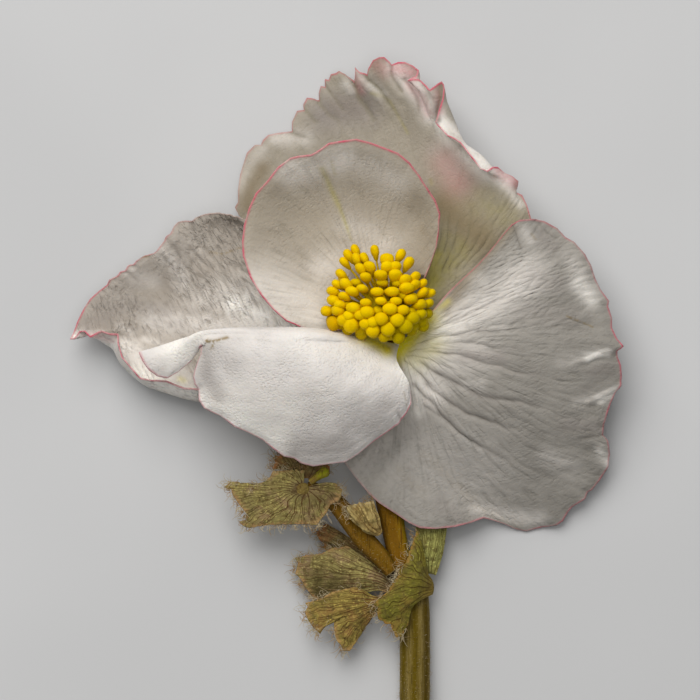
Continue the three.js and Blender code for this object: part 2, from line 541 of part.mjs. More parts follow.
// All stamens grow from one rounded column. Their tips lie on a dome, spread by the golden angle.
function stamensGeometry() {
  const foot = new THREE.Vector3(-0.6, 1.2, 13.2);
  const column = { x: -1.2, y: 2.4, z: 14.1, halfWidth: 3.9, halfDepth: 3.6, halfHeight: 2.9 };
  const dome = { x: -2.1, y: 4.2, z: 14.5, halfWidth: 8.1, halfDepth: 7.5, height: 6.5 };
  const goldenAngle = Math.PI * (3 - Math.sqrt(5));
  const solids = [solidFrom(new THREE.SphereGeometry(1, 10, 7).rotateX(Math.PI / 2)
    .scale(column.halfWidth, column.halfDepth, column.halfHeight)
    .translate(column.x, column.y, column.z))];
  for (let i = 0; i < stamenCount; i += 1) {
    const spread = Math.sqrt((i + 0.5) / stamenCount);
    const turn = i * goldenAngle;
    const tip = new THREE.Vector3(
      dome.x + dome.halfWidth * spread * Math.cos(turn),
      dome.y + dome.halfDepth * spread * Math.sin(turn),
      dome.z + dome.height * Math.sqrt(1 - 0.9 * spread ** 2),
    );
    const reach = tip.clone().sub(foot);
    const geometry = stamenGeometry(reach.length());
    const turned = new THREE.Quaternion().setFromUnitVectors(new THREE.Vector3(0, 1, 0), reach.normalize());
    geometry.applyQuaternion(turned).translate(...foot.toArray());
    solids.push(solidFrom(geometry));
  }
  const { vertProperties, triVerts } = wasm.Manifold.union(solids).getMesh();
  return geometryFrom(Array.from(vertProperties), Array.from(triVerts));
}

const flower = new THREE.Group();
flower.position.set(...flowerCentre);
flower.add(mesh("receptacle", receptacleGeometry(), receptacleFinish));
for (const [name, petal] of Object.entries(petals)) {
  flower.add(mesh(name, bladeGeometry(petal, petalThickness, petal.columns, petal.rows), petalFinish));
}
flower.add(mesh("stamens", stamensGeometry(), stamenFinish));

const node = new THREE.Group();
node.position.set(...nodeCentre);
for (const [name, stalk] of Object.entries(stalks)) {
  node.add(mesh(name, stalkGeometry(stalk), stalk.finish));
}
for (const [name, bract] of Object.entries(bracts)) {
  const geometry = bladeGeometry(bract, bractThickness, bract.columns, bract.rows);
  node.add(mesh(name, geometry, bract.finish ?? bractFinish));
}

// The part's origin is the middle of its underside.
const part = new THREE.Group();
part.name = "begonia_flower";
part.add(flower, node);
const box = new THREE.Box3().setFromObject(part, true);
const middle = box.getCenter(new THREE.Vector3());
part.position.set(-middle.x, -middle.y, -box.min.z);

export default part;
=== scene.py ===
"""Looks for a single begonia flower on its cut stem, lying face up on a pale floor.

Each solid of the part is replaced by a finer piece that stands on the same ribs or the same path.
Tables are in millimetres, in the part's own frame; Blender works in metres.
"""

import math

import bpy
import numpy as np
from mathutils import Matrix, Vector


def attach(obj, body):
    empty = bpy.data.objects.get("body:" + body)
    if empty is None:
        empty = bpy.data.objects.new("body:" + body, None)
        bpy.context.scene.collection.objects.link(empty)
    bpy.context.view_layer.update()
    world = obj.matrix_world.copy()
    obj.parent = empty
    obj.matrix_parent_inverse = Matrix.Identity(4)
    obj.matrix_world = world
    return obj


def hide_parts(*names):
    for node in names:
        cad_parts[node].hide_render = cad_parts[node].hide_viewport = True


MM = 0.001
FLOWER = np.array([6.75, 11.25, 0.0])  # the receptacle's axis
NODE = np.array([7.65, -27.15, 0.0])  # the stem's node
VIEW = np.array([0.45, 7.35])  # the point under the camera
CAMERA_HEIGHT = 1000.0
SHARP_HEIGHT = 10.0  # the height at which a picture point is PIXEL wide
PIXEL = 0.15
PICTURE_MIDDLE = 350.0
FLOOR_CLEARANCE = 0.03

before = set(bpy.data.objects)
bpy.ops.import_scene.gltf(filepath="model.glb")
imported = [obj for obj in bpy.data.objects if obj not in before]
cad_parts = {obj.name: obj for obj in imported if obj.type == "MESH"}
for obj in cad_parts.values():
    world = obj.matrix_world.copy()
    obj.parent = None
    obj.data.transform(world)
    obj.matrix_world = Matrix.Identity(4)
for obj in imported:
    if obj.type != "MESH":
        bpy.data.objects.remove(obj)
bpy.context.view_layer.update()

# Petals, from the receptacle's axis, and bracts, from the node's centre. First comes the root: x, y and z
# of its centre, its radius, and the turns in degrees at which it starts and ends. Then come the ribs: x,
# y and z of each rib's points, which run outwards and end on the margin.
PETALS = {
    "petal_back": ((0, 0, 8.2, 3, 155, 0), [
        (-7.1, 3.9, 6, -13.8, 7.8, 4.2, -19.1, 12.2, 3.4, -23.1, 16.5, 3),
        (-6.6, 6.6, 5.6, -13.1, 11.9, 3.8, -18.6, 17.9, 2.6, -23, 22.2, 1.6),
        (-5.1, 9.3, 5.2, -10.1, 16.4, 3.2, -15.3, 22.8, 1.7, -19.4, 27.6, 0.7),
        (-3, 11.4, 5, -6.3, 19.4, 3, -10.1, 26.9, 1.2, -13.5, 32.7, 0.5),
        (-0.6, 12.6, 5, -2.1, 21.6, 3, -4.8, 30.3, 1.6, -8.1, 37.5, 1.8),
        (1.8, 13.2, 5.2, 2.4, 22.4, 3.6, 0.6, 31.4, 3.4, -2.1, 39.3, 5),
        (3.9, 13.2, 5.6, 6.9, 21.6, 4.6, 6.6, 29.9, 6, 4.2, 37.2, 8.2),
        (5.7, 12.6, 6.2, 10.2, 20.1, 6.2, 10.8, 26.9, 8.8, 7.8, 33, 10.8),
        (7.2, 11.4, 6.8, 12.9, 18.3, 7.6, 14.4, 23.9, 10.2, 11.7, 26.1, 12.4),
        (8.6, 9.8, 7.2, 14.9, 16.2, 8.6, 16.8, 20.4, 10, 16.7, 22.9, 11),
        (9.9, 7.4, 7.6, 16.4, 13.2, 9, 18.8, 16.6, 9.4, 20, 18.7, 9),
        (10.6, 4.6, 7.8, 17.2, 9.4, 9, 20.2, 12, 9.1, 22, 14.2, 8.8),
    ]),
    "petal_inner": ((0, 0, 10.2, 3, 190, 62), [
        (-7.1, -0.9, 11.4, -11.1, -1.1, 12.8, -15, -0.5, 14.2),
        (-8.1, 1.5, 11, -13.4, 3.6, 12.3, -19.5, 4.8, 14.8),
        (-8.6, 4.8, 10.7, -15, 8.7, 12, -22.4, 11.9, 15.2),
        (-7.8, 8.4, 10.5, -13.8, 14.9, 11.9, -20.6, 19.5, 15.6),
        (-6.3, 10.8, 10.4, -10.8, 18.9, 11.9, -14.9, 24.9, 16.2),
        (-4.4, 11.7, 10.4, -6.3, 19.8, 12, -7.4, 27.8, 17),
        (-1.7, 11.4, 10.4, -0.8, 18.6, 12, 0.9, 25.2, 16.8),
        (0.8, 9.6, 10.5, 3.5, 15.3, 11.9, 6, 19.2, 15.2),
        (2, 7.2, 10.6, 4.5, 10.5, 11.7, 7.2, 13.8, 13.6),
        (2.4, 5.1, 10.8, 3.9, 6.9, 11.4, 5.4, 8.7, 12.4),
    ]),
    "petal_left": ((0, 0, 9.2, 3, 150, 218), [
        (-7.8, 4.8, 8.2, -13.8, 10.4, 7, -18.6, 13.8, 6.6, -21.6, 16.1, 6.8),
        (-8.4, 4.8, 7.8, -15.3, 10.4, 5.8, -22.1, 14.7, 5.2, -27.2, 16.8, 5.8),
        (-9.3, 3.9, 7.4, -17.6, 8.4, 5, -26.6, 12.2, 3.7, -33, 14.1, 4.6),
        (-10.2, 2.7, 7, -19.5, 6, 4.2, -31.1, 8.1, 2.1, -39.6, 8.6, 3.6),
        (-10.8, 1.5, 6.8, -21, 3.6, 3.6, -34.1, 4.8, 0.8, -44.1, 5.1, 3.6),
        (-11.1, 0.3, 6.7, -21.9, 1.2, 3.2, -36.3, 0.6, 0.35, -47.8, -1.9, 4.8),
        (-11.1, -0.9, 6.7, -22.4, -0.9, 3.1, -40.2, -2.6, 0.8, -46.2, -1.5, 6.2),
        (-11, -2.1, 6.7, -22.2, -3, 3.1, -39.9, -4.7, 2.6, -41, -1.8, 7.4),
        (-10.7, -3.2, 6.8, -21.6, -5.1, 3.3, -36.9, -7.9, 3, -38.8, -6.4, 7.6),
        (-10.1, -4.1, 7, -20.1, -6.9, 3.8, -32.8, -10.2, 3.4, -34.8, -8.4, 7.4),
        (-9.2, -5, 7.3, -18, -8.4, 4.6, -28, -11.5, 4.2, -29.3, -9.6, 7.8),
        (-7.8, -5.4, 7.7, -15, -9, 5.8, -22, -11.8, 5.6, -23, -10.6, 8.2),
    ]),
    "petal_right": ((0, 0, 9.2, 3, 18, -92), [
        (4.8, 0.8, 10.3, 8.7, 5, 10.9, 13.5, 9.6, 11.5, 18, 14.9, 12.2),
        (5.7, 0.3, 10.8, 11.7, 4.8, 11.8, 18, 9.9, 12.4, 23, 15.5, 11.6),
        (6.5, -0.3, 11.2, 13.5, 3.3, 12.3, 21.5, 7.1, 12.4, 28.4, 11.3, 10.2),
        (6.8, -1.2, 11.4, 14.7, 0.9, 12.6, 23.7, 3, 12, 31.8, 4.7, 9.4),
        (6.9, -2.4, 11.5, 15.5, -2.4, 12.6, 25.2, -2.7, 11.4, 34.2, -3.3, 8.4),
        (6.8, -3.6, 11.5, 15.5, -5.7, 12.4, 25.2, -8.7, 10.4, 33.9, -10.2, 7),
        (6.3, -4.7, 11.3, 14.3, -9.2, 11.8, 23.4, -13.7, 9.2, 32.4, -16.8, 5.2),
        (5.7, -5.7, 11, 12.5, -11.9, 11, 21, -18.4, 7.6, 31.9, -22.3, 3.1),
        (4.8, -6.6, 10.6, 10.2, -14.7, 10, 17, -22.7, 5.4, 25.2, -29.7, 1),
        (3.6, -7.2, 10.2, 7.2, -15.9, 9, 11.3, -24.2, 4.4, 17.4, -30.6, 1.1),
        (2.4, -7.5, 9.9, 3.9, -16.2, 8.4, 5.7, -24.2, 5.6, 7.2, -30.8, 4.8),
        (1.2, -7.5, 9.7, 0.9, -15.2, 8.3, 0.5, -21.9, 6.4, -0.6, -27.8, 5.8),
        (0.2, -6.9, 9.6, -1.8, -12.9, 8.4, -3.9, -17.4, 6.8, -6.8, -20.7, 5.6),
    ]),
    "petal_front": ((0, 0, 10.2, 3, 205, 292), [
        (-5.6, -1.5, 14.2, -13.8, -0.6, 16.5, -26, -1, 13, -37.7, -4.2, 9.6),
        (-5.4, -2, 15, -13.5, -1.1, 18, -27.5, -1.2, 13.8, -36.5, -6.5, 9.8),
        (-5.2, -2.3, 15.4, -13.4, -1.5, 18.8, -28.9, -1.5, 14.3, -33.3, -8, 10.4),
        (-5, -2.6, 15.7, -13.8, -2, 19.2, -26.6, -1.7, 15.4, -28.9, -3.3, 13.4),
        (-4.8, -2.9, 15.8, -14.5, -2.7, 19.4, -25.4, -2.2, 16.2, -28.2, -2.2, 14.6),
        (-4.5, -3.3, 16, -12.8, -4.4, 19.8, -22.6, -5.2, 17.6, -29.2, -8.1, 13.2),
        (-4.1, -3.9, 16, -10.5, -6.3, 20, -19.5, -9.5, 17.5, -28.2, -12.5, 13),
        (-3.5, -4.5, 16, -9.3, -7.8, 20, -16.8, -12.2, 17, -22.8, -15.6, 13),
        (-2.9, -5, 16, -7.8, -8.9, 19.8, -13.1, -14.4, 16.5, -16.4, -19.4, 12.5),
        (-2.1, -5.3, 15.8, -6, -9.6, 19.5, -9, -15.6, 16.3, -11.1, -21.5, 12),
        (-1.4, -5.4, 15.5, -4.1, -9.6, 19, -5.3, -15, 16.5, -6, -20.1, 13),
        (-0.6, -5.4, 15, -2.1, -9.2, 18.3, -1.2, -13.5, 16.8, -0.6, -16.5, 14.5),
        (0.2, -5.3, 14.3, 0, -8.1, 17, 1.5, -11, 16.5, 2.6, -13.1, 15.3),
        (0.6, -5, 13.5, 1.2, -6.6, 15.5, 2.3, -8.4, 15.8, 2.9, -10.2, 15.5),
    ]),
}
BRACTS = {
    "bract_clasp": ((2.6, -1.4, 3.3, 2.8, 22, -21), [
        (4.5, 1.2, 4.4, 3.9, 4.2, 4.7, 2.9, 7.5, 4.6), (3.9, 1.1, 5.1, 2.7, 3.3, 5.3, 1.7, 4.2, 5.2),
        (3.3, 0.5, 5.6, 1.8, 1.2, 5.8, 0.3, 1.4, 5.5), (2.9, -0.6, 5.8, 0.9, -0.6, 6, -0.9, -0.9, 5.5),
        (2.7, -1.8, 5.8, 0.3, -2.6, 6.1, -3.5, -3.5, 5.8),
        (2.7, -2.7, 5.7, 0.5, -4.1, 5.9, -3, -5.9, 5.6), (2.9, -3.3, 5.5, 1.2, -5, 5.6, 0, -8.9, 5.4),
        (3.3, -3.3, 5.3, 2.1, -4.5, 5.4, 1.5, -6.9, 5.3),
    ]),
    "bract_right": ((4.8, -1.2, 2.9, 1.95, 118, 62), [
        (3.3, 1.8, 3.2, 2.7, 4.8, 3.1, 2.9, 9.3, 3), (4.2, 2, 3.4, 4.2, 5.3, 3.5, 4.5, 10.2, 3.2),
        (5.1, 1.5, 3.3, 5.7, 4.8, 3.5, 6.2, 9.9, 3.2), (5.9, 0.9, 3, 6.9, 4.2, 3, 7.5, 8.4, 3),
    ]),
    "bract_middle": ((1.9, -1.1, 3, 2.75, 160, 210), [
        (-2.7, 1.4, 3.3, -5.1, 3.2, 3.1, -7.7, 5, 2.7), (-3.3, 1.1, 3.6, -6.9, 2.7, 3.4, -10.8, 4.1, 2.6),
        (-3.6, 0.6, 3.7, -8.7, 2, 3.4, -15.2, 3.2, 2.2), (-3.8, 0, 3.7, -9, 0.6, 3.3, -15.6, 0.9, 2),
        (-3.8, -0.6, 3.4, -8.7, -0.6, 3, -14.1, -1.1, 2),
        (-3.6, -1.2, 3.1, -8, -1.8, 2.6, -12.8, -2.9, 1.9),
        (-3.2, -1.8, 2.8, -6.5, -2.7, 2.2, -9, -3.5, 1.9),
    ]),
    "bract_curl": ((1.9, 0, 1.6, 2.6, 162, 198), [
        (-3.9, 3, 1.6, -7.2, 6, 1.6, -10.8, 8.3, 2.4), (-4.2, 2.6, 1.5, -8, 5.1, 1.5, -12.3, 7.2, 3),
        (-4.5, 2, 1.3, -8.3, 4.2, 1.2, -11.7, 5.7, 2.2), (-4.8, 1.4, 1.1, -8.3, 3.3, 0.9, -11, 4.4, 1.2),
    ]),
    "bract_lower": ((2.5, -3.6, 3.6, 2.4, 158, 202), [
        (-3.3, -2.7, 4, -5.6, -1.5, 4.4, -8.1, -1.5, 4.4),
        (-3.6, -3, 4.2, -7.2, -2.6, 4.7, -11.4, -2.7, 4.6),
        (-3.8, -3.5, 4.2, -8, -3.6, 4.8, -14, -4.2, 4.6),
        (-3.8, -3.8, 4.2, -8, -4.7, 4.8, -13.2, -6.5, 4.4),
        (-3.8, -4.1, 4.2, -7.7, -5.4, 4.7, -11.9, -8.1, 4.2),
        (-3.6, -4.4, 4.1, -7.1, -5.4, 4.6, -10.1, -5.6, 4.4),
        (-3.6, -4.7, 4, -6.3, -6.3, 4.3, -9, -9, 3.6), (-3.3, -4.8, 3.9, -5.4, -6.6, 4, -7.8, -10.7, 3.2),
        (-2.9, -5, 3.8, -4.5, -6.6, 3.8, -6.5, -9.6, 3.2),
    ]),
    "bract_papery": ((-3.2, 7.4, 6.7, 0.85, -10, -100), [
        (-2.7, 8.4, 6.9, -3.2, 10.2, 6.9, -3.6, 11.9, 6.6),
        (-3.6, 8.4, 7.4, -4.5, 10.4, 7.4, -5.1, 11.6, 6.9),
        (-4.5, 8.1, 7.7, -5.7, 10.1, 8, -7.2, 11.4, 7.5), (-5, 7.5, 7.8, -6.3, 8.9, 8.1, -7.7, 10.4, 7.9),
        (-4.4, 6.9, 7.6, -5.6, 7.8, 8, -6.9, 9.2, 8.3),
    ]),
    "bract_upper": ((-14.2, 13.7, 7.5, 0.75, 15, -265), [
        (-12.5, 14.3, 7.8, -10.7, 14.6, 7.7, -9, 14.4, 7.5),
        (-12.5, 13.5, 7.8, -10.5, 13.1, 7.7, -8.9, 12.5, 7.6),
        (-12.9, 12.6, 7.8, -11.9, 11.3, 7.7, -10.8, 9.9, 7.3),
        (-13.8, 12, 7.8, -13.5, 10.2, 7.6, -13.1, 8.3, 6.9),
        (-14.9, 12.2, 7.8, -15.6, 10.2, 7.5, -16.4, 8.3, 6.7),
        (-15.8, 12.5, 7.8, -18.2, 10.4, 7.4, -20.7, 8.1, 6.5),
        (-16.2, 12.8, 7.8, -19.5, 10.8, 7.3, -23.7, 8.7, 6.3),
        (-16.4, 13.1, 7.8, -19.5, 11.9, 7.3, -22.8, 10.7, 6.8),
        (-16.5, 13.4, 7.8, -20.1, 12.8, 7.4, -24.3, 12.2, 6.7),
        (-16.5, 13.8, 7.8, -20.4, 14, 7.4, -25.4, 14.4, 6.5),
        (-16.2, 14.3, 7.8, -19.2, 14.4, 7.5, -22.5, 14.4, 7.1),
        (-15.8, 14.6, 7.8, -17.7, 15.2, 7.6, -19.7, 15, 7.4),
        (-15, 14.9, 7.8, -16.1, 15.8, 7.7, -17.3, 16.5, 7.5),
        (-14.1, 14.9, 7.8, -14.1, 15.6, 7.8, -14, 16.5, 7.8),
    ]),
    "bract_upper_back": ((-13.8, 14.1, 6.7, 1.1, 140, 40), [
        (-16.2, 15.8, 6.7, -17.6, 16.5, 6.6, -18.9, 16.5, 6.6),
        (-15.6, 16.2, 6.7, -17, 17.4, 6.6, -18.6, 18.6, 6.5),
        (-14.6, 16.4, 6.7, -15.2, 17.6, 6.6, -16.1, 18.9, 6.4),
        (-13.4, 16.2, 6.7, -13.2, 17.4, 6.6, -13.1, 18.8, 6.4),
        (-12.5, 15.9, 6.7, -11.6, 16.8, 6.6, -10.7, 18, 6.5),
        (-12.2, 15.3, 6.7, -11.1, 15.6, 6.7, -10.1, 15.9, 6.7),
    ]),
}

# Notches in the bracts' margins: the rib they are at, their depth in mm and half their width in ribs
NICKS = {
    "bract_clasp": [(1.5, 0.5, 0.4), (3.5, 0.5, 0.4), (4.5, 0.5, 0.4), (5.5, 0.6, 0.4)],
    "bract_right": [(0.5, 0.5, 0.3), (1.5, 0.6, 0.3), (2.5, 0.6, 0.3)],
    "bract_middle": [(1.5, 0.5, 0.4), (2.5, 0.6, 0.3), (3.5, 0.6, 0.3), (4.5, 0.6, 0.3), (5.5, 0.5, 0.4)],
    "bract_curl": [(0.67, 0.5, 0.3), (2.33, 0.5, 0.3)],
    "bract_lower": [(1.5, 0.5, 0.3), (2.5, 0.6, 0.3), (3.5, 0.6, 0.3), (6.5, 0.6, 0.3)],
    "bract_papery": [(1.5, 0.4, 0.4), (3.5, 0.3, 0.4)],
    "bract_upper": [(1.5, 0.5, 0.4), (3.5, 0.5, 0.4), (5.5, 0.5, 0.4), (8.5, 0.5, 0.4), (11.5, 0.4, 0.4)],
    "bract_upper_back": [(0.5, 0.4, 0.3), (2.5, 0.4, 0.3), (3.5, 0.4, 0.3)],
}

# Stalks, from the node's centre: x, y, z and radius at each point
STALKS = {
    "stem": [
        (2.6, -23.5, 2.05, 2.33), (2.6, -16.5, 2.05, 2.33), (2.6, -9.8, 2.05, 2.33), (2.5, -4, 2.2, 2.33),
        (2.2, -1.8, 2.4, 2.15), (1.5, 0, 2.8, 1.7),
    ],
    "pedicel_flower": [
        (1.35, 0.4, 2.85, 1.5), (0.6, 2.4, 2.9, 1.65), (-0.2, 5.3, 2.7, 1.75), (-0.9, 9, 2.5, 1.85),
        (-1.6, 12.3, 2.5, 1.85), (-2.1, 18, 2.8, 1.8), (-1.8, 25.5, 3.1, 1.7), (-1.2, 32, 3.5, 1.65),
        (-1, 36, 4, 1.65), (-0.9, 38.1, 5.1, 1.6), (-0.9, 38.4, 6.4, 1.55),
    ],
    "pedicel_side": [
        (-0.9, 1, 4.9, 0.9), (-2.7, 3.4, 5.1, 1.2), (-5.1, 6, 5.2, 1.35), (-7.5, 9.3, 5.4, 1.35),
        (-9.6, 11.7, 5.6, 1.2), (-12, 13.2, 5.9, 1), (-13.8, 13.8, 6.1, 0.8),
    ],
    "pedicel_stub": [
        (-13.2, 14.6, 8.9, 0.5), (-11.9, 15.6, 8.9, 0.62), (-10.4, 16.5, 8.8, 0.98),
    ],
}

# Margins as they show in the photograph: x and y of each point, in picture points
OUTLINES = {
    "petal_back": [
        235, 207, 238, 202, 238, 190, 240, 175, 244, 162, 247, 153, 255, 145, 261, 145, 263, 140,
        268, 135, 277, 133, 286, 132, 292, 131, 292, 122, 297, 111, 304, 110, 303, 105, 307, 98, 314, 99,
        319, 101, 319, 93, 321, 86, 325, 87, 325, 79, 329, 80, 331, 74, 336, 73, 339, 71, 345, 74,
        350, 79, 353, 84, 355, 78, 356, 67, 361, 72, 367, 75, 368, 69, 373, 60, 379, 57, 384, 57, 388, 61,
        391, 65, 398, 62, 405, 62, 413, 66, 418, 70, 416, 76, 411, 78, 406, 81, 412, 79, 419, 79, 423, 83,
        430, 89, 441, 82, 443, 88, 442, 100, 438, 112, 435, 122, 441, 128, 447, 135, 454, 138, 460, 142,
        470, 155, 480, 168, 487, 171, 493, 167, 498, 167, 505, 173, 512, 176, 518, 181, 517, 187,
        513, 191, 522, 195, 527, 205, 531, 218, 535, 226,
    ],
    "petal_inner": [
        300, 326, 286, 321, 273, 309, 260, 294, 250, 277, 243, 256, 242, 242, 244, 225, 249, 208,
        256, 193, 268, 180, 278, 167, 290, 158, 298, 156, 311, 155, 319, 150, 329, 143, 341, 141,
        356, 139, 369, 142, 385, 148, 398, 153, 409, 162, 419, 175, 428, 189, 436, 201, 440, 213,
        439, 229, 437, 246, 431, 263, 424, 280,
    ],
    "petal_left": [
        245, 219, 230, 215, 216, 213, 205, 214, 195, 218, 191, 222, 185, 221, 178, 222, 174, 226,
        170, 234, 166, 236, 164, 241, 158, 249, 155, 253, 144, 256, 136, 261, 133, 265, 128, 265,
        125, 271, 120, 272, 117, 276, 109, 280, 107, 285, 99, 291, 90, 299, 84, 308, 77, 322, 74, 331,
        70, 339, 74, 339, 79, 332, 84, 331, 90, 337, 97, 333, 101, 331, 110, 334, 118, 334, 118, 343,
        122, 357, 131, 368, 140, 378, 150, 380, 166, 381, 184, 388, 199, 389,
    ],
    "petal_right": [
        513, 224, 520, 220, 533, 219, 544, 221, 557, 228, 565, 237, 574, 242, 585, 254, 591, 265,
        595, 278, 600, 289, 609, 301, 608, 306, 612, 318, 612, 328, 617, 339, 623, 346, 617, 350,
        618, 357, 621, 365, 622, 376, 621, 385, 616, 391, 611, 402, 608, 410, 604, 423, 603, 435,
        608, 441, 610, 454, 608, 467, 600, 480, 592, 490, 588, 492, 585, 499, 572, 507, 568, 512,
        563, 521, 557, 525, 542, 527, 526, 531, 516, 529, 505, 524, 492, 520, 484, 518, 470, 523,
        455, 527, 435, 529, 420, 528, 409, 523, 396, 514, 379, 503, 368, 493, 355, 477, 344, 462,
    ],
    "petal_front": [
        139, 353, 143, 362, 149, 370, 157, 376, 167, 378, 178, 372, 191, 361, 198, 351, 202, 344,
        204, 338, 202, 346, 202, 354, 199, 361, 196, 369, 194, 377, 195, 384, 199, 389, 199, 400,
        204, 408, 212, 412, 221, 416, 229, 422, 234, 426, 248, 432, 262, 439, 273, 448, 284, 456,
        294, 458, 301, 463, 313, 466, 326, 464, 345, 462, 358, 454, 374, 441, 388, 431, 399, 423,
        407, 412, 411, 404, 411, 397, 410, 389,
    ],
    "bract_upper": [
        342, 490, 341, 497, 338, 502, 330, 505, 327, 512, 322, 518, 317, 525, 308, 524, 294, 524,
        280, 524, 265, 525, 249, 528, 243, 526, 239, 522, 246, 521, 246, 513, 238, 503, 233, 495,
        231, 489, 224, 487, 231, 482, 239, 483, 247, 485, 256, 484, 264, 483, 270, 477, 273, 471,
        286, 471,
    ],
    "bract_middle": [
        332, 548, 321, 554, 308, 555, 295, 558, 298, 563, 295, 574, 301, 579, 305, 587, 312, 596,
        319, 600,
    ],
    "bract_lower": [
        358, 588, 345, 589, 332, 592, 321, 599, 314, 601, 305, 603, 308, 606, 305, 612, 308, 620,
        313, 627, 320, 634, 318, 626, 321, 618, 327, 615, 334, 618, 334, 627, 336, 640, 341, 645,
        343, 651, 350, 651, 356, 642, 363, 631, 376, 612,
    ],
}

# Waves of a petal's surface: kind, height in mm, turn in degrees, width and length in mm, seed, places.
# "radial" and "pleat" follow the ribs and fork as the petal widens; "plain" and "crepe" run along one
# direction. "pleat" and "crepe" are rounded between sharp grooves. A place is (x, y, radius) in picture
# points; no place means everywhere.
WAVES = {
    "petal_back": [
        ("crepe", 0.18, 82, 0.85, 9, 1, [(445, 262, 24), (436, 285, 20)]),
        ("crepe", 0.18, 68, 0.85, 9, 2, [(474, 235, 26)]),
        ("crepe", 0.15, 52, 0.9, 9, 4, [(505, 212, 20)]),
        ("radial", 0.2, 0, 3.2, 14, 3, [(330, 105, 50), (380, 95, 40), (270, 160, 40)]),
        ("plain", 0.03, 60, 0.9, 1.6, 5, []),
    ],
    "petal_inner": [
        ("radial", 0.15, 0, 0.8, 7, 11, [(300, 285, 40), (345, 248, 20), (270, 260, 30)]),
        ("radial", 0.1, 0, 2.6, 14, 13, []),
        ("plain", 0.015, 40, 1.2, 1.8, 12, []),
    ],
    "petal_left": [
        ("crepe", 0.3, 118, 0.8, 3.6, 21, [(205, 270, 44), (240, 285, 40), (245, 250, 34),
         (185, 305, 26)]),
        ("plain", 0.16, 112, 0.6, 2.2, 26, [(195, 290, 60), (240, 240, 40)]),
        ("plain", 0.07, 140, 0.7, 3.5, 22, [(140, 310, 40), (180, 318, 36)]),
        ("radial", 0.06, 0, 2.2, 9, 23, []),
        ("plain", 0.07, 130, 5, 9, 24, [(150, 270, 50), (190, 235, 40)]),
        ("plain", 0.05, 60, 0.8, 1.2, 25, []),
    ],
    "petal_right": [
        ("pleat", 0.16, 0, 1.3, 22, 31, [(435, 350, 60), (480, 375, 60), (500, 420, 40)]),
        ("radial", 0.07, 0, 0.8, 6, 32, []),
        ("crepe", 0.13, 22, 0.62, 2.6, 33, [(520, 280, 46), (560, 290, 46), (490, 320, 34)]),
        ("radial", 0.2, 0, 4, 24, 34, []),
        ("radial", 0.35, 0, 3.2, 12, 35, [(614, 362, 16), (612, 400, 14), (603, 440, 14)]),
        ("plain", 0.12, 60, 1.3, 2.2, 36, [(540, 232, 16), (556, 240, 14)]),
        ("radial", 0.25, 0, 3.4, 9, 37, [(590, 470, 30), (560, 500, 30), (480, 500, 30)]),
    ],
    "petal_front": [
        ("plain", 0.02, 30, 0.8, 1, 41, []),
        ("radial", 0.06, 0, 1.6, 12, 42, [(300, 345, 60), (360, 350, 40)]),
        ("radial", 0.12, 0, 4.5, 20, 43, []),
    ],
}

# Single creases: width in picture points, height in mm, then x and y of each point in picture points
CREASES = {
    "petal_right": [
        (2.3, -0.18, 418, 339, 460, 334, 499, 330, 535, 331),
        (1.5, -0.12, 404, 352, 421, 326, 442, 314, 470, 300),
        (1.5, -0.13, 402, 353, 420, 334, 444, 325, 480, 318),
        (1.5, -0.13, 402, 354, 417, 342, 442, 337, 475, 336),
        (1.5, -0.14, 402, 355, 416, 349, 440, 348, 470, 352),
        (1.6, -0.14, 403, 357, 414, 356, 434, 362, 462, 372),
        (1.6, -0.14, 402, 359, 412, 366, 426, 380, 448, 396),
        (2.5, -0.2, 427, 345, 460, 342, 490, 346, 532, 351),
        (2.8, -0.27, 415, 351, 454, 354, 487, 363, 520, 372, 560, 380),
        (3.1, -0.3, 412, 357, 445, 378, 481, 396, 520, 402, 565, 410),
        (3, -0.3, 409, 363, 433, 390, 466, 414, 499, 424, 540, 440),
        (2.8, -0.27, 409, 378, 436, 408, 460, 432, 487, 450, 525, 466),
        (2.5, -0.19, 418, 402, 445, 420, 472, 441, 500, 470),
        (2.3, -0.18, 430, 330, 466, 315, 499, 300, 526, 291), (2, -0.15, 433, 324, 469, 306, 490, 294),
        (1.6, -0.14, 566, 318, 580, 322, 592, 327),
    ],
    "petal_front": [
        (4, 0.22, 206, 341, 201, 356, 198, 374, 204, 396),
    ],
    "petal_inner": [
        (4, -0.05, 324, 170, 341, 205, 352, 240),
    ],
    "petal_back": [
        (1.9, -0.2, 433, 270, 444, 253, 449, 229, 450, 205),
        (1.9, -0.2, 437, 277, 450, 257, 457, 236, 460, 212),
        (1.9, -0.2, 444, 274, 459, 257, 468, 236, 471, 215, 469, 195),
        (1.9, -0.18, 450, 274, 468, 257, 480, 236, 485, 215),
        (1.9, -0.18, 457, 274, 478, 253, 492, 233, 499, 212, 497, 191),
        (1.9, -0.18, 437, 257, 441, 236, 444, 215), (1.9, -0.16, 471, 270, 488, 253, 506, 229, 512, 212),
        (3, -0.1, 382, 94, 398, 115, 412, 138),
    ],
}
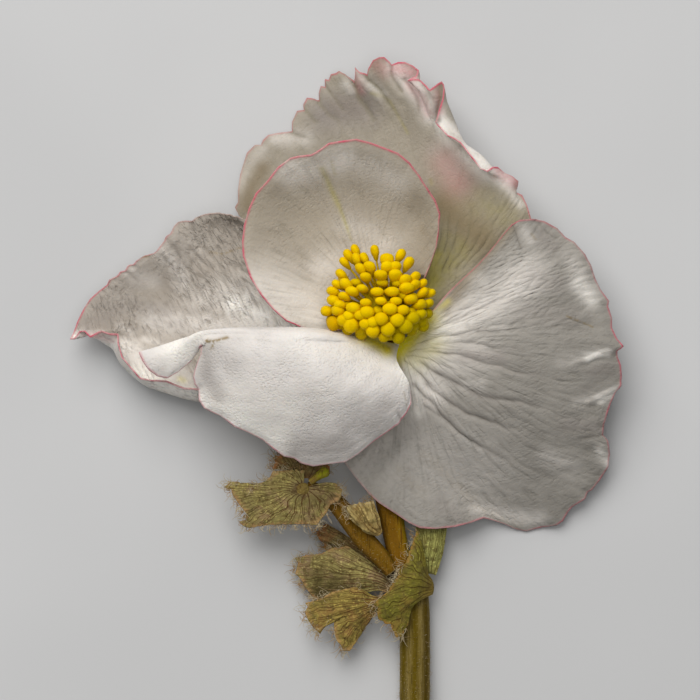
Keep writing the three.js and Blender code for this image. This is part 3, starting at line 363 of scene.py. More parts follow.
# Creases that end on the margin, with the share of the rib at which they start after their height
MARGIN_CREASES = {
    "petal_right": [
        (2.6, 0.26, 0.72, 570, 366, 600, 354, 623, 346), (5, -0.14, 0.78, 585, 362, 612, 358),
        (2.4, 0.2, 0.78, 588, 401, 619, 387), (6, -0.12, 0.78, 584, 388, 612, 374),
        (2.6, -0.16, 0.84, 578, 437, 603, 435), (3.5, 0.14, 0.82, 582, 425, 604, 420),
        (2.2, -0.16, 0.6, 514, 226, 517, 240, 520, 250), (2.4, -0.18, 0.6, 536, 222, 546, 232, 556, 238),
    ],
    "petal_front": [
        (1.3, 0.16, 0.8, 389, 406, 393, 414, 399, 425), (1.5, -0.12, 0.8, 392, 405, 397, 414, 402, 421),
    ],
    "petal_back": [
        (4, 0.26, 0.7, 356, 66, 372, 90, 390, 114), (5, -0.4, 0.68, 353, 84, 361, 98, 374, 122),
        (3.5, -0.28, 0.74, 367, 74, 380, 92, 388, 106), (4, 0.2, 0.74, 376, 60, 384, 74, 398, 96),
        (3, -0.16, 0.78, 391, 65, 392, 74, 402, 92),
        (3.5, -0.2, 0.7, 406, 81, 414, 92, 420, 112, 428, 128),
        (3.5, 0.2, 0.74, 430, 89, 433, 100, 434, 114), (3, -0.26, 0.74, 441, 84, 438, 104, 437, 118),
        (4.5, -0.22, 0.76, 319, 101, 328, 114, 338, 124), (3.5, -0.16, 0.78, 325, 86, 335, 98, 342, 110),
        (4, -0.18, 0.8, 304, 110, 316, 122), (4, -0.18, 0.78, 292, 131, 306, 138, 318, 142),
        (4, 0.2, 0.8, 342, 76, 352, 92), (4.5, 0.16, 0.8, 311, 100, 322, 112),
    ],
    "petal_left": [
        (3, -0.14, 0.78, 166, 236, 176, 250, 184, 264), (2.5, -0.12, 0.8, 191, 222, 197, 238),
        (4, 0.12, 0.8, 176, 230, 188, 246), (2.5, -0.12, 0.82, 157, 251, 168, 262),
        (2.2, -0.1, 0.86, 126, 271, 138, 280), (3, -0.06, 0.86, 107, 285, 118, 294),
        (2.5, -0.06, 0.86, 133, 265, 139, 272),
    ],
}

# Tints, by mask: width in picture points, strength, then x and y of each point in picture points. The
# pale and light masks are painted light, lifting places that lie in shade and adding highlights; the dark
# and umber masks are painted shade, where shade and shadow fall; green is the throat's own colour, laid
# in places as painted light too
TINTS = {
    "petal_back": {
        "pink": [
            (17, 0.26, 448, 162, 458, 180), (8, 0.22, 376, 62, 386, 70), (8, 0.38, 396, 68, 412, 72),
            (6, 0.3, 410, 84, 422, 96, 430, 112), (5, 0.25, 356, 74, 362, 90),
            (4, 0.22, 436, 92, 440, 112), (6, 0.4, 498, 170, 516, 184),
        ],
        # Painted light: the throat's green laid here lightens the shadow of the inner petal
        "green": [(7, 0.26, 429, 290, 433, 268, 436, 256)],
        "olive": [
            (1.8, 0.45, 372, 92, 390, 100, 408, 133), (2.6, 0.45, 431, 180, 432, 184),
            (18, 0.82, 430, 290, 448, 262, 462, 246), (20, 0.42, 444, 210, 466, 224, 480, 232),
            (11, 0.7, 430, 285, 442, 250, 446, 236), (20, 0.15, 448, 160, 462, 200),
            (20, 0.48, 480, 205, 505, 215),
        ],
        "pale": [
            (5, 0.95, 440, 118, 462, 138, 486, 165, 500, 176, 520, 205), (8, 0.3, 240, 185, 262, 150),
            (6, 0.7, 410, 84, 424, 98, 430, 112), (14, 0.35, 442, 150, 456, 172),
            (9, 0.5, 276, 138, 306, 138), (6, 0.5, 400, 66, 410, 70),
        ],
        "light": [
            (8, 0.75, 394, 68, 412, 88), (10, 1, 414, 86, 426, 100, 433, 114),
            (6, 0.45, 369, 86, 380, 94), (5, 0.5, 346, 84, 352, 92),
            (7, 0.85, 441, 124, 448, 138, 462, 150), (5, 0.4, 358, 72, 364, 80),
            (9, 1, 462, 150, 488, 172, 506, 178),
        ],
        "dark": [
            (7, 0.5, 352, 88, 360, 104, 374, 124), (4, 0.35, 374, 74, 388, 98),
            (20, 1, 328, 112, 362, 106), (24, 0.45, 480, 200, 505, 215),
        ],
        "umber": [
            (14, 0.22, 336, 109, 362, 106), (19, 0.8, 440, 206, 462, 222, 482, 238),
            (10, 0.7, 247, 206, 252, 188, 262, 170),
        ],
    },
    "petal_inner": {
        "green": [(2.6, 0.07, 322, 168, 338, 205, 348, 230)],
        "brown": [(3, 0.14, 423, 228, 424, 232)],
        "olive": [
            (3.2, 0.5, 322, 168, 332, 190, 338, 204), (1.8, 0.5, 338, 202, 344, 218, 351, 240),
            (1.6, 0.35, 331, 160, 335, 174),
        ],
        "pale": [
            (34, 0.8, 262, 292, 300, 308, 330, 325), (19, 0.66, 322, 270, 350, 262, 382, 252),
            (14, 0.85, 290, 172, 320, 166, 345, 158), (14, 0.42, 350, 228, 372, 236),
            (14, 0.45, 345, 160, 380, 168, 400, 182),
        ],
        "umber": [
            (12, 0.14, 252, 208, 262, 192, 276, 186), (14, 0.26, 414, 200, 426, 218, 428, 262),
            (11, 0.12, 288, 210, 316, 216),
        ],
    },
    "petal_left": {
        "pink": [(3, 0.22, 84, 335, 100, 336, 114, 340)],
        "green": [(3, 0.25, 180, 379, 184, 381)],
        "brown": [
            (1.3, 0.45, 210, 252, 222, 254, 240, 248), (9, 0.1, 142, 288, 156, 292),
            (1.2, 0.5, 140, 257, 148, 256),
        ],
        "pale": [
            (20, 0.22, 120, 292, 150, 270, 190, 245), (11, 0.75, 134, 276, 150, 280),
            (11, 0.6, 164, 254, 176, 264, 184, 284), (6, 0.55, 120, 326, 130, 332),
            (5, 0.6, 145, 340, 158, 343), (7, 1, 78, 337, 112, 342, 124, 362),
            (15, 0.95, 125, 350, 150, 372, 190, 382), (13, 0.7, 150, 320, 220, 326, 280, 326),
            (20, 0.5, 200, 300, 260, 290, 280, 312),
        ],
        "light": [
            (12, 1, 236, 304, 262, 316, 292, 325), (6, 1, 76, 338, 112, 343),
            (7, 1, 134, 371, 158, 384, 194, 393),
        ],
        "dark": [
            (10, 0.42, 98, 308, 130, 306, 164, 311), (9, 0.45, 82, 324, 108, 317),
            (9, 0.25, 150, 318, 184, 328),
        ],
        "calm": [(17, 0.95, 134, 276, 158, 284)],
    },
    "petal_right": {
        "green": [
            (12, 1, 392, 356, 404, 344, 425, 318), (3.5, 0.3, 424, 322, 436, 312, 448, 302),
            (14, 0.28, 396, 356, 415, 356, 430, 345),
        ],
        "brown": [
            (1.2, 0.4, 531, 234, 535, 239), (1, 0.5, 566, 316, 580, 321, 592, 327),
            (6, 0.12, 425, 455, 450, 475, 475, 505, 515, 530), (6, 0.1, 400, 470, 420, 490),
            (2, 0.35, 545, 218, 556, 226),
        ],
        "pale": [
            (20, 0.72, 425, 345, 462, 320, 498, 300, 528, 276), (9, 0.35, 468, 276, 500, 288),
            (8, 0.35, 472, 330, 502, 324), (7, 0.4, 466, 384, 480, 385), (10, 0.35, 545, 456, 572, 468),
            (18, 0.5, 420, 368, 480, 352), (40, 0.4, 390, 410, 410, 450, 470, 470),
            (18, 1, 412, 356, 432, 330, 446, 318), (17, 1, 408, 352, 418, 378, 430, 392),
            (6, 0.22, 560, 363, 604, 352), (5, 0.3, 575, 402, 606, 394), (6, 0.4, 524, 230, 530, 240),
            (10, 0.35, 572, 262, 590, 290), (9, 0.6, 476, 508, 515, 516, 538, 518),
            (13, 0.6, 352, 472, 366, 458, 388, 440),
        ],
        "light": [
            (6, 0.6, 416, 390, 418, 412), (17, 1, 412, 366, 426, 346, 440, 322),
            (8, 0.6, 577, 284, 591, 300), (5, 0.85, 588, 358, 607, 353), (5, 0.85, 600, 399, 615, 392),
            (6, 0.6, 600, 450, 608, 462),
        ],
        "dark": [
            (11, 0.36, 532, 276, 558, 285), (8, 0.62, 464, 356, 500, 357), (14, 0.28, 520, 312, 570, 316),
            (10, 0.34, 440, 503, 456, 520), (8, 0.45, 594, 370, 612, 366), (9, 0.45, 568, 424, 600, 427),
            (9, 0.45, 542, 236, 552, 248), (5, 0.28, 604, 351, 618, 351),
        ],
        "umber": [(8.5, 0.66, 446, 308, 476, 262, 508, 228)],
        "calm": [(8, 0.7, 522, 234, 530, 246)],
    },
    "petal_front": {
        "green": [(6, 1, 362, 337, 374, 343, 387, 351), (11, 0.1, 356, 336, 384, 349)],
        "brown": [
            (1.5, 0.8, 206, 341, 216, 341, 228, 338), (1.6, 0.7, 215, 342, 213, 348),
            (1, 0.3, 403, 390, 407, 410),
        ],
        "pale": [(20, 0.5, 240, 390, 290, 402, 320, 396)],
        "light": [
            (12, 0.55, 256, 410, 292, 408), (7, 0.9, 398, 362, 406, 380),
            (17, 1, 216, 402, 236, 414, 256, 427, 280, 436), (15, 1, 176, 351, 198, 343),
            (16, 0.3, 300, 342, 390, 366),
        ],
        "dark": [
            (11, 0.6, 206, 350, 208, 376, 218, 394), (15, 0.32, 214, 352, 234, 362),
            (2.5, 0.5, 207, 346, 206, 360), (15, 0.55, 298, 448, 342, 444),
            (11, 0.36, 345, 428, 372, 423, 386, 404),
        ],
    },
}
# Painted shade on the bracts, darker where they lie in shadow, given in the same way
BRACT_SHADES = [
    (8, 0.4, 247, 505, 250, 526), (10, 0.7, 297, 495, 312, 500, 334, 500),
    (12, 0.95, 318, 578, 320, 594, 334, 582), (7, 0.7, 389, 574, 392, 586), (6, 0.6, 403, 560, 404, 570),
]

# Looks of the petals. grid: columns and rows; scallops: how many, and depth in mm; ruffle: height in mm,
# waves and phase; rim: how pink the margin is at even steps from the first rib to the last, then the
# first and the last side; colours: face, shaded face, grooves, where each petal's face is set lighter or
# darker than the white petal as painted light and shade for how the light falls on it, and the groove
# colour is painted shade in hollows; fine: creases that are too small for the mesh, as turn in degrees
# (None runs along the ribs), width, length, depth in mm and darkness, a painted shade in them
PETAL_LOOKS = {
    "petal_back": {
        "grid": (360, 132), "scallops": (120, 0.12), "ruffle": (0.4, 11, 0),
        "rim": ([0.25, 0.2, 0.35, 0.45, 0.6, 0.9, 1, 1, 0.9, 0.8, 0.7, 0.4], 0, 0),
        "colours": ((0.39, 0.35, 0.285), (0.325, 0.29, 0.235), (0.19, 0.17, 0.10)),
        "fine": [(None, 0.9, 7.0, 0.05, 0.14), (40, 0.45, 0.8, 0.03, 0.10)],
    },
    "petal_inner": {
        "grid": (220, 90), "scallops": (60, 0.05), "ruffle": (0.3, 5, 0.6),
        "rim": ([1, 1, 0.95, 0.9, 0.8, 0.9, 1, 0.9, 0.75, 0.5], 0.6, 0.1),
        "colours": ((0.450, 0.400, 0.325), (0.41, 0.36, 0.29), (0.26, 0.23, 0.175)),
        "fine": [(None, 0.7, 5.0, 0.05, 0.20), (40, 0.40, 0.7, 0.03, 0.10)],
    },
    "petal_left": {
        "grid": (240, 171), "scallops": (90, 0.07), "ruffle": (0.35, 9, 0.4),
        "rim": ([0.1, 0.15, 0.3, 0.5, 0.8, 0.9, 1, 0.9, 0.9, 0.9, 0.6, 0.2], 0, 0),
        "colours": ((0.47, 0.425, 0.370), (0.41, 0.366, 0.316), (0.275, 0.24, 0.20)),
        "fine": [(118, 0.52, 2.4, 0.16, 0.32), (140, 0.36, 0.9, 0.05, 0.08)],
    },
    "petal_right": {
        "grid": (420, 150), "scallops": (110, 0.07), "ruffle": (0.4, 13, 0.5),
        "rim": ([0.7, 0.5, 0.3, 0.5, 0.9, 0.8, 0.5, 0.6, 0.6, 0.6, 0.6, 0.4, 0.2], 0.45, 0),
        "colours": ((0.355, 0.335, 0.302), (0.31, 0.292, 0.262), (0.15, 0.14, 0.115)),
        "fine": [(None, 0.70, 6.0, 0.07, 0.22), (24, 0.38, 1.0, 0.035, 0.14)],
    },
    "petal_front": {
        "grid": (220, 99), "scallops": (80, 0.06), "ruffle": (0.2, 9, 0),
        "rim": ([0.7, 0.9, 0.7, 0.8, 0.6, 0.6, 0.8, 0.7, 0.6, 0.4, 0.9, 1, 0.3], 0, 0),
        "colours": ((0.79, 0.76, 0.73), (0.70, 0.67, 0.64), (0.42, 0.39, 0.37)),
        "fine": [(20, 0.32, 0.42, 0.05, 0.10)],
    },
}
PETAL_THICKNESS = 0.5
PINK_WIDTH = 0.34

PINK = (0.62, 0.10, 0.16)
# The throat's own yellow-green, set much lighter than it is as painted light, as the throat lies in the
# stamens' shadow
THROAT_GREEN_AND_PAINTED_LIGHT = (0.95, 0.84, 0.004)
OLIVE = (0.365, 0.320, 0.110)
# Painted light: the next two colours lift the petals where they lie in shade, and paint highlights on
# them
PALE_PAINTED_LIGHT = (0.82, 0.78, 0.73)
BRIGHT_PAINTED_LIGHT = (0.97, 0.94, 0.88)
# Painted shade: the next two colours, where shade and shadow fall on the petals
PAINTED_SHADE = (0.30, 0.27, 0.25)
PAINTED_UMBER_SHADE = (0.21, 0.16, 0.09)
BRUISE_BROWN = (0.25, 0.16, 0.03)
TINT_NAMES = ("pink", "green", "brown", "olive", "pale", "light", "dark", "umber", "calm")

# Looks of the bracts: slot, number of veins, height in mm of crumples and of lengthways folds, colours
# of face, dry patches, veins and margin
GREEN = ((0.290, 0.246, 0.086), (0.30, 0.200, 0.110), (0.110, 0.030, 0.012), (0.42, 0.25, 0.11))
BROWN = ((0.215, 0.165, 0.065), (0.29, 0.15, 0.06), (0.10, 0.04, 0.015), (0.42, 0.17, 0.06))
CREAM = ((0.36, 0.275, 0.105), (0.28, 0.18, 0.06), (0.18, 0.10, 0.03), (0.55, 0.44, 0.22))
LEAFY = ((0.300, 0.300, 0.090), (0.27, 0.23, 0.07), (0.11, 0.075, 0.015), (0.37, 0.24, 0.07))
DEEP = ((0.155, 0.140, 0.022), (0.23, 0.155, 0.034), (0.06, 0.028, 0.006), (0.32, 0.18, 0.045))
YELLOW = ((0.280, 0.215, 0.054), (0.30, 0.165, 0.055), (0.12, 0.040, 0.014), (0.46, 0.28, 0.11))
BRACT_LOOKS = {
    "bract_clasp": ("bract", 7, 0.14, 0.1, DEEP), "bract_right": ("bract", 5, 0.10, 0.1, LEAFY),
    "bract_middle": ("bract", 8, 0.12, 0.1, GREEN), "bract_curl": ("dry_bract", 4, 0.22, 0.3, BROWN),
    "bract_lower": ("bract", 9, 0.17, 0.15, YELLOW), "bract_papery": ("dry_bract", 4, 0.25, 0.7, CREAM),
    "bract_upper": ("bract", 17, 0.08, 0.1, GREEN),
    "bract_upper_back": ("dry_bract", 5, 0.20, 0.3, BROWN),
}
BRACT_THICKNESS = 0.32
BRACT_ROWS = 60
BRACT_SCALLOP = 0.42  # mm deep
BRACT_SHINE = 1.9  # how much lighter the light flecks are than the face
DIRT = (0.10, 0.08, 0.026)
BRACT_SHADE = (0.06, 0.045, 0.015)
BOSS_COLOURS = ((0.235, 0.200, 0.045), (0.20, 0.13, 0.04), (0.085, 0.035, 0.012), (0.07, 0.03, 0.01))
BOSS_SIZE = (1.05, 1.0, 0.42)
SCAR_MIDDLE = (297.7, 486.5)  # in picture points, as is its radius
SCAR_RADIUS = 2.4
SCAR_HEIGHT = 0.12
BALL_SIDES, BALL_LEVELS = 48, 30
HAIR_RADIUS = 0.055
HAIR_STEPS, HAIR_SIDES = 9, 3
HAIRS_PER_MM = 5.5
HAIR_LIGHT = (0.52, 0.44, 0.28)
HAIR_BROWN = (0.36, 0.22, 0.09)

# Looks of the stalks: slot, ridges, their depth as a share of the radius, steps along the stalk, how
# much wider than high it is, how long its rounded end is in mm, how many hairs are tried, the ring at
# which they end, then colours of edge, middle, streaks and sunny side
STALK_LOOKS = {
    "stem": ("stem", 7, 0.05, 240, 1, 0, 260, 108, (
        (0.110, 0.074, 0.003), (0.230, 0.172, 0.055), (0.070, 0.046, 0.005), (0.090, 0.056, 0.001))),
    "pedicel_flower": ("pedicel", 5, 0.035, 200, 1, 0, 0, 0, (
        (0.180, 0.085, 0.004), (0.250, 0.125, 0.010), (0.080, 0.036, 0.004), (0.300, 0.200, 0.006))),
    "pedicel_side": ("pedicel", 5, 0.05, 120, 1.18, 0, 90, 118, (
        (0.165, 0.085, 0.005), (0.205, 0.105, 0.014), (0.085, 0.040, 0.004), (0.140, 0.082, 0.004))),
    "pedicel_stub": ("pedicel", 5, 0.04, 60, 1, 0.9, 0, 0, (
        (0.190, 0.120, 0.030), (0.260, 0.200, 0.030), (0.130, 0.090, 0.015), (0.330, 0.335, 0.015))),
}
STALK_SIDES = 72
STALK_HAIR_RADIUS = 0.03
STALK_SPECK = (0.055, 0.038, 0.008)
STALK_FLECK = (0.36, 0.29, 0.12)
CUT_END = (0.42, 0.36, 0.20)
WARM = (1.0, 0.86, 0.45, 1)  # the tint of a gloss on leaf and stalk

# Where each anther shows, in picture points, and its size, where 1 is usual
ANTHERS = [
    (356, 251, .9), (349, 256, 1), (357, 260, 1), (365, 259, .85), (345, 263, .8), (375, 252, .9),
    (387, 261, 1.1), (400, 256, 1.05), (408, 264, 1.1), (395, 268, .9), (370, 268, .95), (387, 268, .95),
    (381, 276, 1), (395, 276, 1), (342, 275, .95), (405, 281, .95), (414, 278, 1), (421, 284, .8),
    (414, 286, .9), (347, 285, 1.2), (338, 285, .8), (363, 289, .8), (353, 292, 1.05), (334, 292, 1.05),
    (377, 292, 1), (392, 292, 1.15), (406, 289, 1.2), (422, 293, .9), (429, 294, .85), (396, 301, .85),
    (410, 300, 1), (419, 305, 1.05), (427, 304, .85), (335, 301, 1.2), (341, 305, .9), (366, 303, .8),
    (381, 301, .8), (354, 308, 1.15), (367, 312, 1.2), (390, 309, 1.25), (403, 310, .95), (328, 311, .95),
    (339, 311, 1), (350, 316, .85), (381, 319, 1.1), (397, 320, 1.12), (412, 318, 1.05), (420, 314, .8),
    (335, 323, 1.2), (352, 325, 1.3), (373, 330, 1.1), (388, 329, 1.15), (405, 326, 1.15),
    (365, 324, .75), (398, 337, .95), (384, 336, .75), (360, 315, .8), (345, 297, .85), (344, 320, .9),
    (373, 322, .8), (361, 270, .95), (366, 278, .8),
]
ANTHER_LENGTH, ANTHER_RADIUS = 2.55, 1.04  # mm
ANTHER_FLAT = 0.66  # thickness for a width of 1
WIDEST = 0.62  # the share of an anther's length at which it is widest
TUBE_SIDES = 18
STALK_STEPS, CLUB_STEPS = 9, 17
# The dome of anthers: its top and how far it reaches to each side, in picture points, then its foot's
# height and its rise in mm
DOME = {"top": (384, 317), "left": 60, "right": 50, "up": 68, "down": 28, "low": 12.6, "height": 6.3}
FOOT = np.array([-0.6, 1.2, 12.4]) + FLOWER
# Anthers under the top layer, with painted shade that darkens them, and the hollows between the anthers,
# which they leave open
FILLERS, FILLER_SINK, FILLER_SIZE, FILLER_SHADE = 64, 1.3, 0.85, 0.6
HOLLOWS = ((373, 286), (345, 293), (366, 296))
HOLLOW_RADIUS = 9
ANTHER_YOUNG = (0.60, 0.44, 0.003)
ANTHER_YELLOW = (0.85, 0.58, 0.0006)
ANTHER_DULL = (0.60, 0.41, 0.0006)
# Orange: a random tone on every anther, and painted shade on those to the lower left
ANTHER_ORANGE_AND_SHADE = (0.54, 0.30, 0.0006)
# Painted shade for anthers that lie deeper, and for those to the lower right
ANTHER_PAINTED_SHADE = (0.38, 0.32, 0.0006)
# Lighter yellow specks on the anthers, in random patches
ANTHER_SPECKS = (0.95, 0.72, 0.002)
COLUMN_MIDDLE = np.array([-1.2, 2.4, 12.8]) + FLOWER
COLUMN_SIZE = (3.5, 3.2, 2.5)
COLUMN_YELLOW = (0.46, 0.34, 0.004)
COLUMN_BROWN = (0.22, 0.11, 0.005)

# The receptacle's half section, from its foot to its top: radius and height
KNOB = [(0.05, 6.9), (1.6, 6.9), (2.2, 7.3), (2.45, 7.9), (2.45, 10.2), (1.8, 10.6), (0.05, 10.7)]
KNOB_SIDES, KNOB_STEPS, KNOB_RIBS = 64, 61, 10
# The receptacle's own yellow-green, set lighter than it is as painted light, as it lies in shade under
# the stamens
KNOB_YELLOW_AND_PAINTED_LIGHT = (0.58, 0.55, 0.035)
KNOB_OLIVE = (0.40, 0.39, 0.02)

FLOOR_RADIUS = 4000.0
FLOOR_SIDES = 96
FLOOR_PALE = (0.60, 0.61, 0.62)
FLOOR_GREY = (0.57, 0.58, 0.59)


def spline_weights(t, count):
    """Weights of a uniform Catmull-Rom curve with reflected ends; t counts points from 0."""
    start = np.clip(np.floor(t).astype(int), 0, count - 2)
    w = t - start
    pull = np.stack([
        -w + 2 * w**2 - w**3, 2 - 5 * w**2 + 3 * w**3, w + 4 * w**2 - 3 * w**3, w**3 - w**2], -1) / 2
    padded = np.zeros((*np.shape(t), count + 2))
    np.put_along_axis(padded, start[..., None] + np.arange(4), pull, axis=-1)
    weights = padded[..., 1:-1].copy()
    weights[..., 0] += 2 * padded[..., 0]
    weights[..., 1] -= padded[..., 0]
    weights[..., -1] += 2 * padded[..., -1]
    weights[..., -2] -= padded[..., -1]
    return weights


def hashed(ix, iy, seed):
    """A repeatable number from 0 to 1 for each whole pair."""
    h = (ix * 374761393 + iy * 668265263 + seed * 974634777) & 0xFFFFFFFF
    h = ((h ^ (h >> 13)) * 1274126177) & 0xFFFFFFFF
    return (h ^ (h >> 16)) / 0xFFFFFFFF


def noise(x, y, seed):
    """Smooth noise of two coordinates, about -1 to 1."""
    x, y = np.broadcast_arrays(np.asarray(x, float), np.asarray(y, float))
    ix, iy = np.floor(x).astype(np.int64), np.floor(y).astype(np.int64)
    fx, fy = x - ix, y - iy
    sx, sy = (f**3 * (f * (f * 6 - 15) + 10) for f in (fx, fy))
    total = np.zeros(x.shape)
    for dx in (0, 1):
        for dy in (0, 1):
            angle = 2 * math.pi * hashed(ix + dx, iy + dy, seed)
            slope = np.cos(angle) * (fx - dx) + np.sin(angle) * (fy - dy)
            total += slope * (sx if dx else 1 - sx) * (sy if dy else 1 - sy)
    return total * 1.5


def smooth(x, low, high):
    t = np.clip((x - low) / (high - low), 0, 1)
    return t * t * (3 - 2 * t)


def unit(vectors):
    return vectors / np.maximum(np.linalg.norm(vectors, axis=-1, keepdims=True), 1e-9)


def to_picture(points):
    """Where points stand in the photograph's frame, in its picture points."""
    scale = (CAMERA_HEIGHT - SHARP_HEIGHT) / (CAMERA_HEIGHT - points[..., 2]) / PIXEL
    return np.stack([
        PICTURE_MIDDLE + (points[..., 0] - VIEW[0]) * scale,
        PICTURE_MIDDLE - (points[..., 1] - VIEW[1]) * scale,
    ], axis=-1)


def from_picture(x, y, z):
    """The point at height z that shows at a picture point."""
    scale = PIXEL * (CAMERA_HEIGHT - z) / (CAMERA_HEIGHT - SHARP_HEIGHT)
    return np.array([(x - PICTURE_MIDDLE) * scale + VIEW[0], (PICTURE_MIDDLE - y) * scale + VIEW[1], z])


def line_distance(points, line):
    """How far 2-D points are from a line given as x, y, x, y..., and how far along it, from 0 to 1."""
    line = np.reshape(line, (-1, 2)).astype(float)
    lengths = np.linalg.norm(np.diff(line, axis=0), axis=1)
    nearest, share = np.full(points.shape[:-1], np.inf), np.zeros(points.shape[:-1])
    before = 0.0
    for a, span, length in zip(line[:-1], np.diff(line, axis=0), lengths):
        t = np.clip(((points - a) @ span) / length**2, 0, 1)
        away = np.linalg.norm(points - a - t[..., None] * span, axis=-1)
        share = np.where(away < nearest, (before + t * length) / lengths.sum(), share)
        nearest = np.minimum(nearest, away)
        before += length
    return nearest, share


def strokes(points, table):
    """Strength of the strongest stroke of a table at each point."""
    total = np.zeros(points.shape[:-1])
    for width, strength, *line in table:
        away = line_distance(points, line)[0]
        total = np.maximum(total, strength * np.exp(-((away / width) ** 2)))
    return total


def quads(grid, down=False):
    """Faces between the neighbours of a grid of point numbers, turned over where down is set."""
    corners = [grid[:-1, :-1], grid[1:, :-1], grid[1:, 1:], grid[:-1, 1:]]
    if down:
        corners[1], corners[3] = corners[3], corners[1]
    return np.stack(corners, -1).reshape(-1, 4).tolist()


def tube_faces(rings, first=0):
    """The faces of a grid of rings, with both ends closed."""
    index = first + np.arange(rings[..., 0].size).reshape(rings.shape[:2])
    around = np.concatenate([index, index[:, :1]], axis=1)
    return quads(around, down=True) + [index[0, ::-1].tolist(), index[-1].tolist()]


class Blade:
    """A petal's or bract's mid-surface: ribs from the root to the margin, with splines across them."""

    def __init__(self, table, origin, scallops, ruffle=(0, 1, 0), nicks=()):
        (*centre, radius, first, last), ribs = table
        turns = np.radians(np.linspace(first, last, len(ribs)))
        feet = np.array(centre) + radius * np.stack([np.cos(turns), np.sin(turns), 0 * turns], axis=-1)
        points = np.array(ribs, float).reshape(len(ribs), -1, 3)
        self.net = np.concatenate([feet[:, None], points], axis=1) + origin
        self.scallops, self.ruffle, self.nicks = scallops, ruffle, nicks

    def net_point(self, u, v):
        ribs, points = self.net.shape[:2]
        across = spline_weights(u * (ribs - 1), ribs)
        along = spline_weights(v * (points - 1), points)
        return np.einsum("...i,...j,ijk->...k", across, along, self.net, optimize=True)

    def cut_depth(self, u):
        position = u * (self.net.shape[0] - 1)
        depth = np.zeros_like(u)
        for at, deep, half in self.nicks:
            depth = np.maximum(depth, deep * np.clip(1 - np.abs(position - at) / half, 0, 1) ** 1.3)
        count, deep = self.scallops
        turn = math.pi * (count * u + 0.8 * noise(count * u * 0.5, 0, 7))
        size = 0.6 + 0.6 * noise(count * u * 0.35, 3, 8)
        return depth + deep * size * (1 - np.abs(np.sin(turn)))

    def surface(self, u, v):
        length = np.linalg.norm(self.net_point(u, 0 * u + 1) - self.net_point(u, 0 * u), axis=-1)
        points = self.net_point(u, v * (1 - self.cut_depth(u) / length * v**2))
        height, waves, phase = self.ruffle
        points[..., 2] += height * v**5 * np.sin(math.pi * waves * u + phase)
        return points


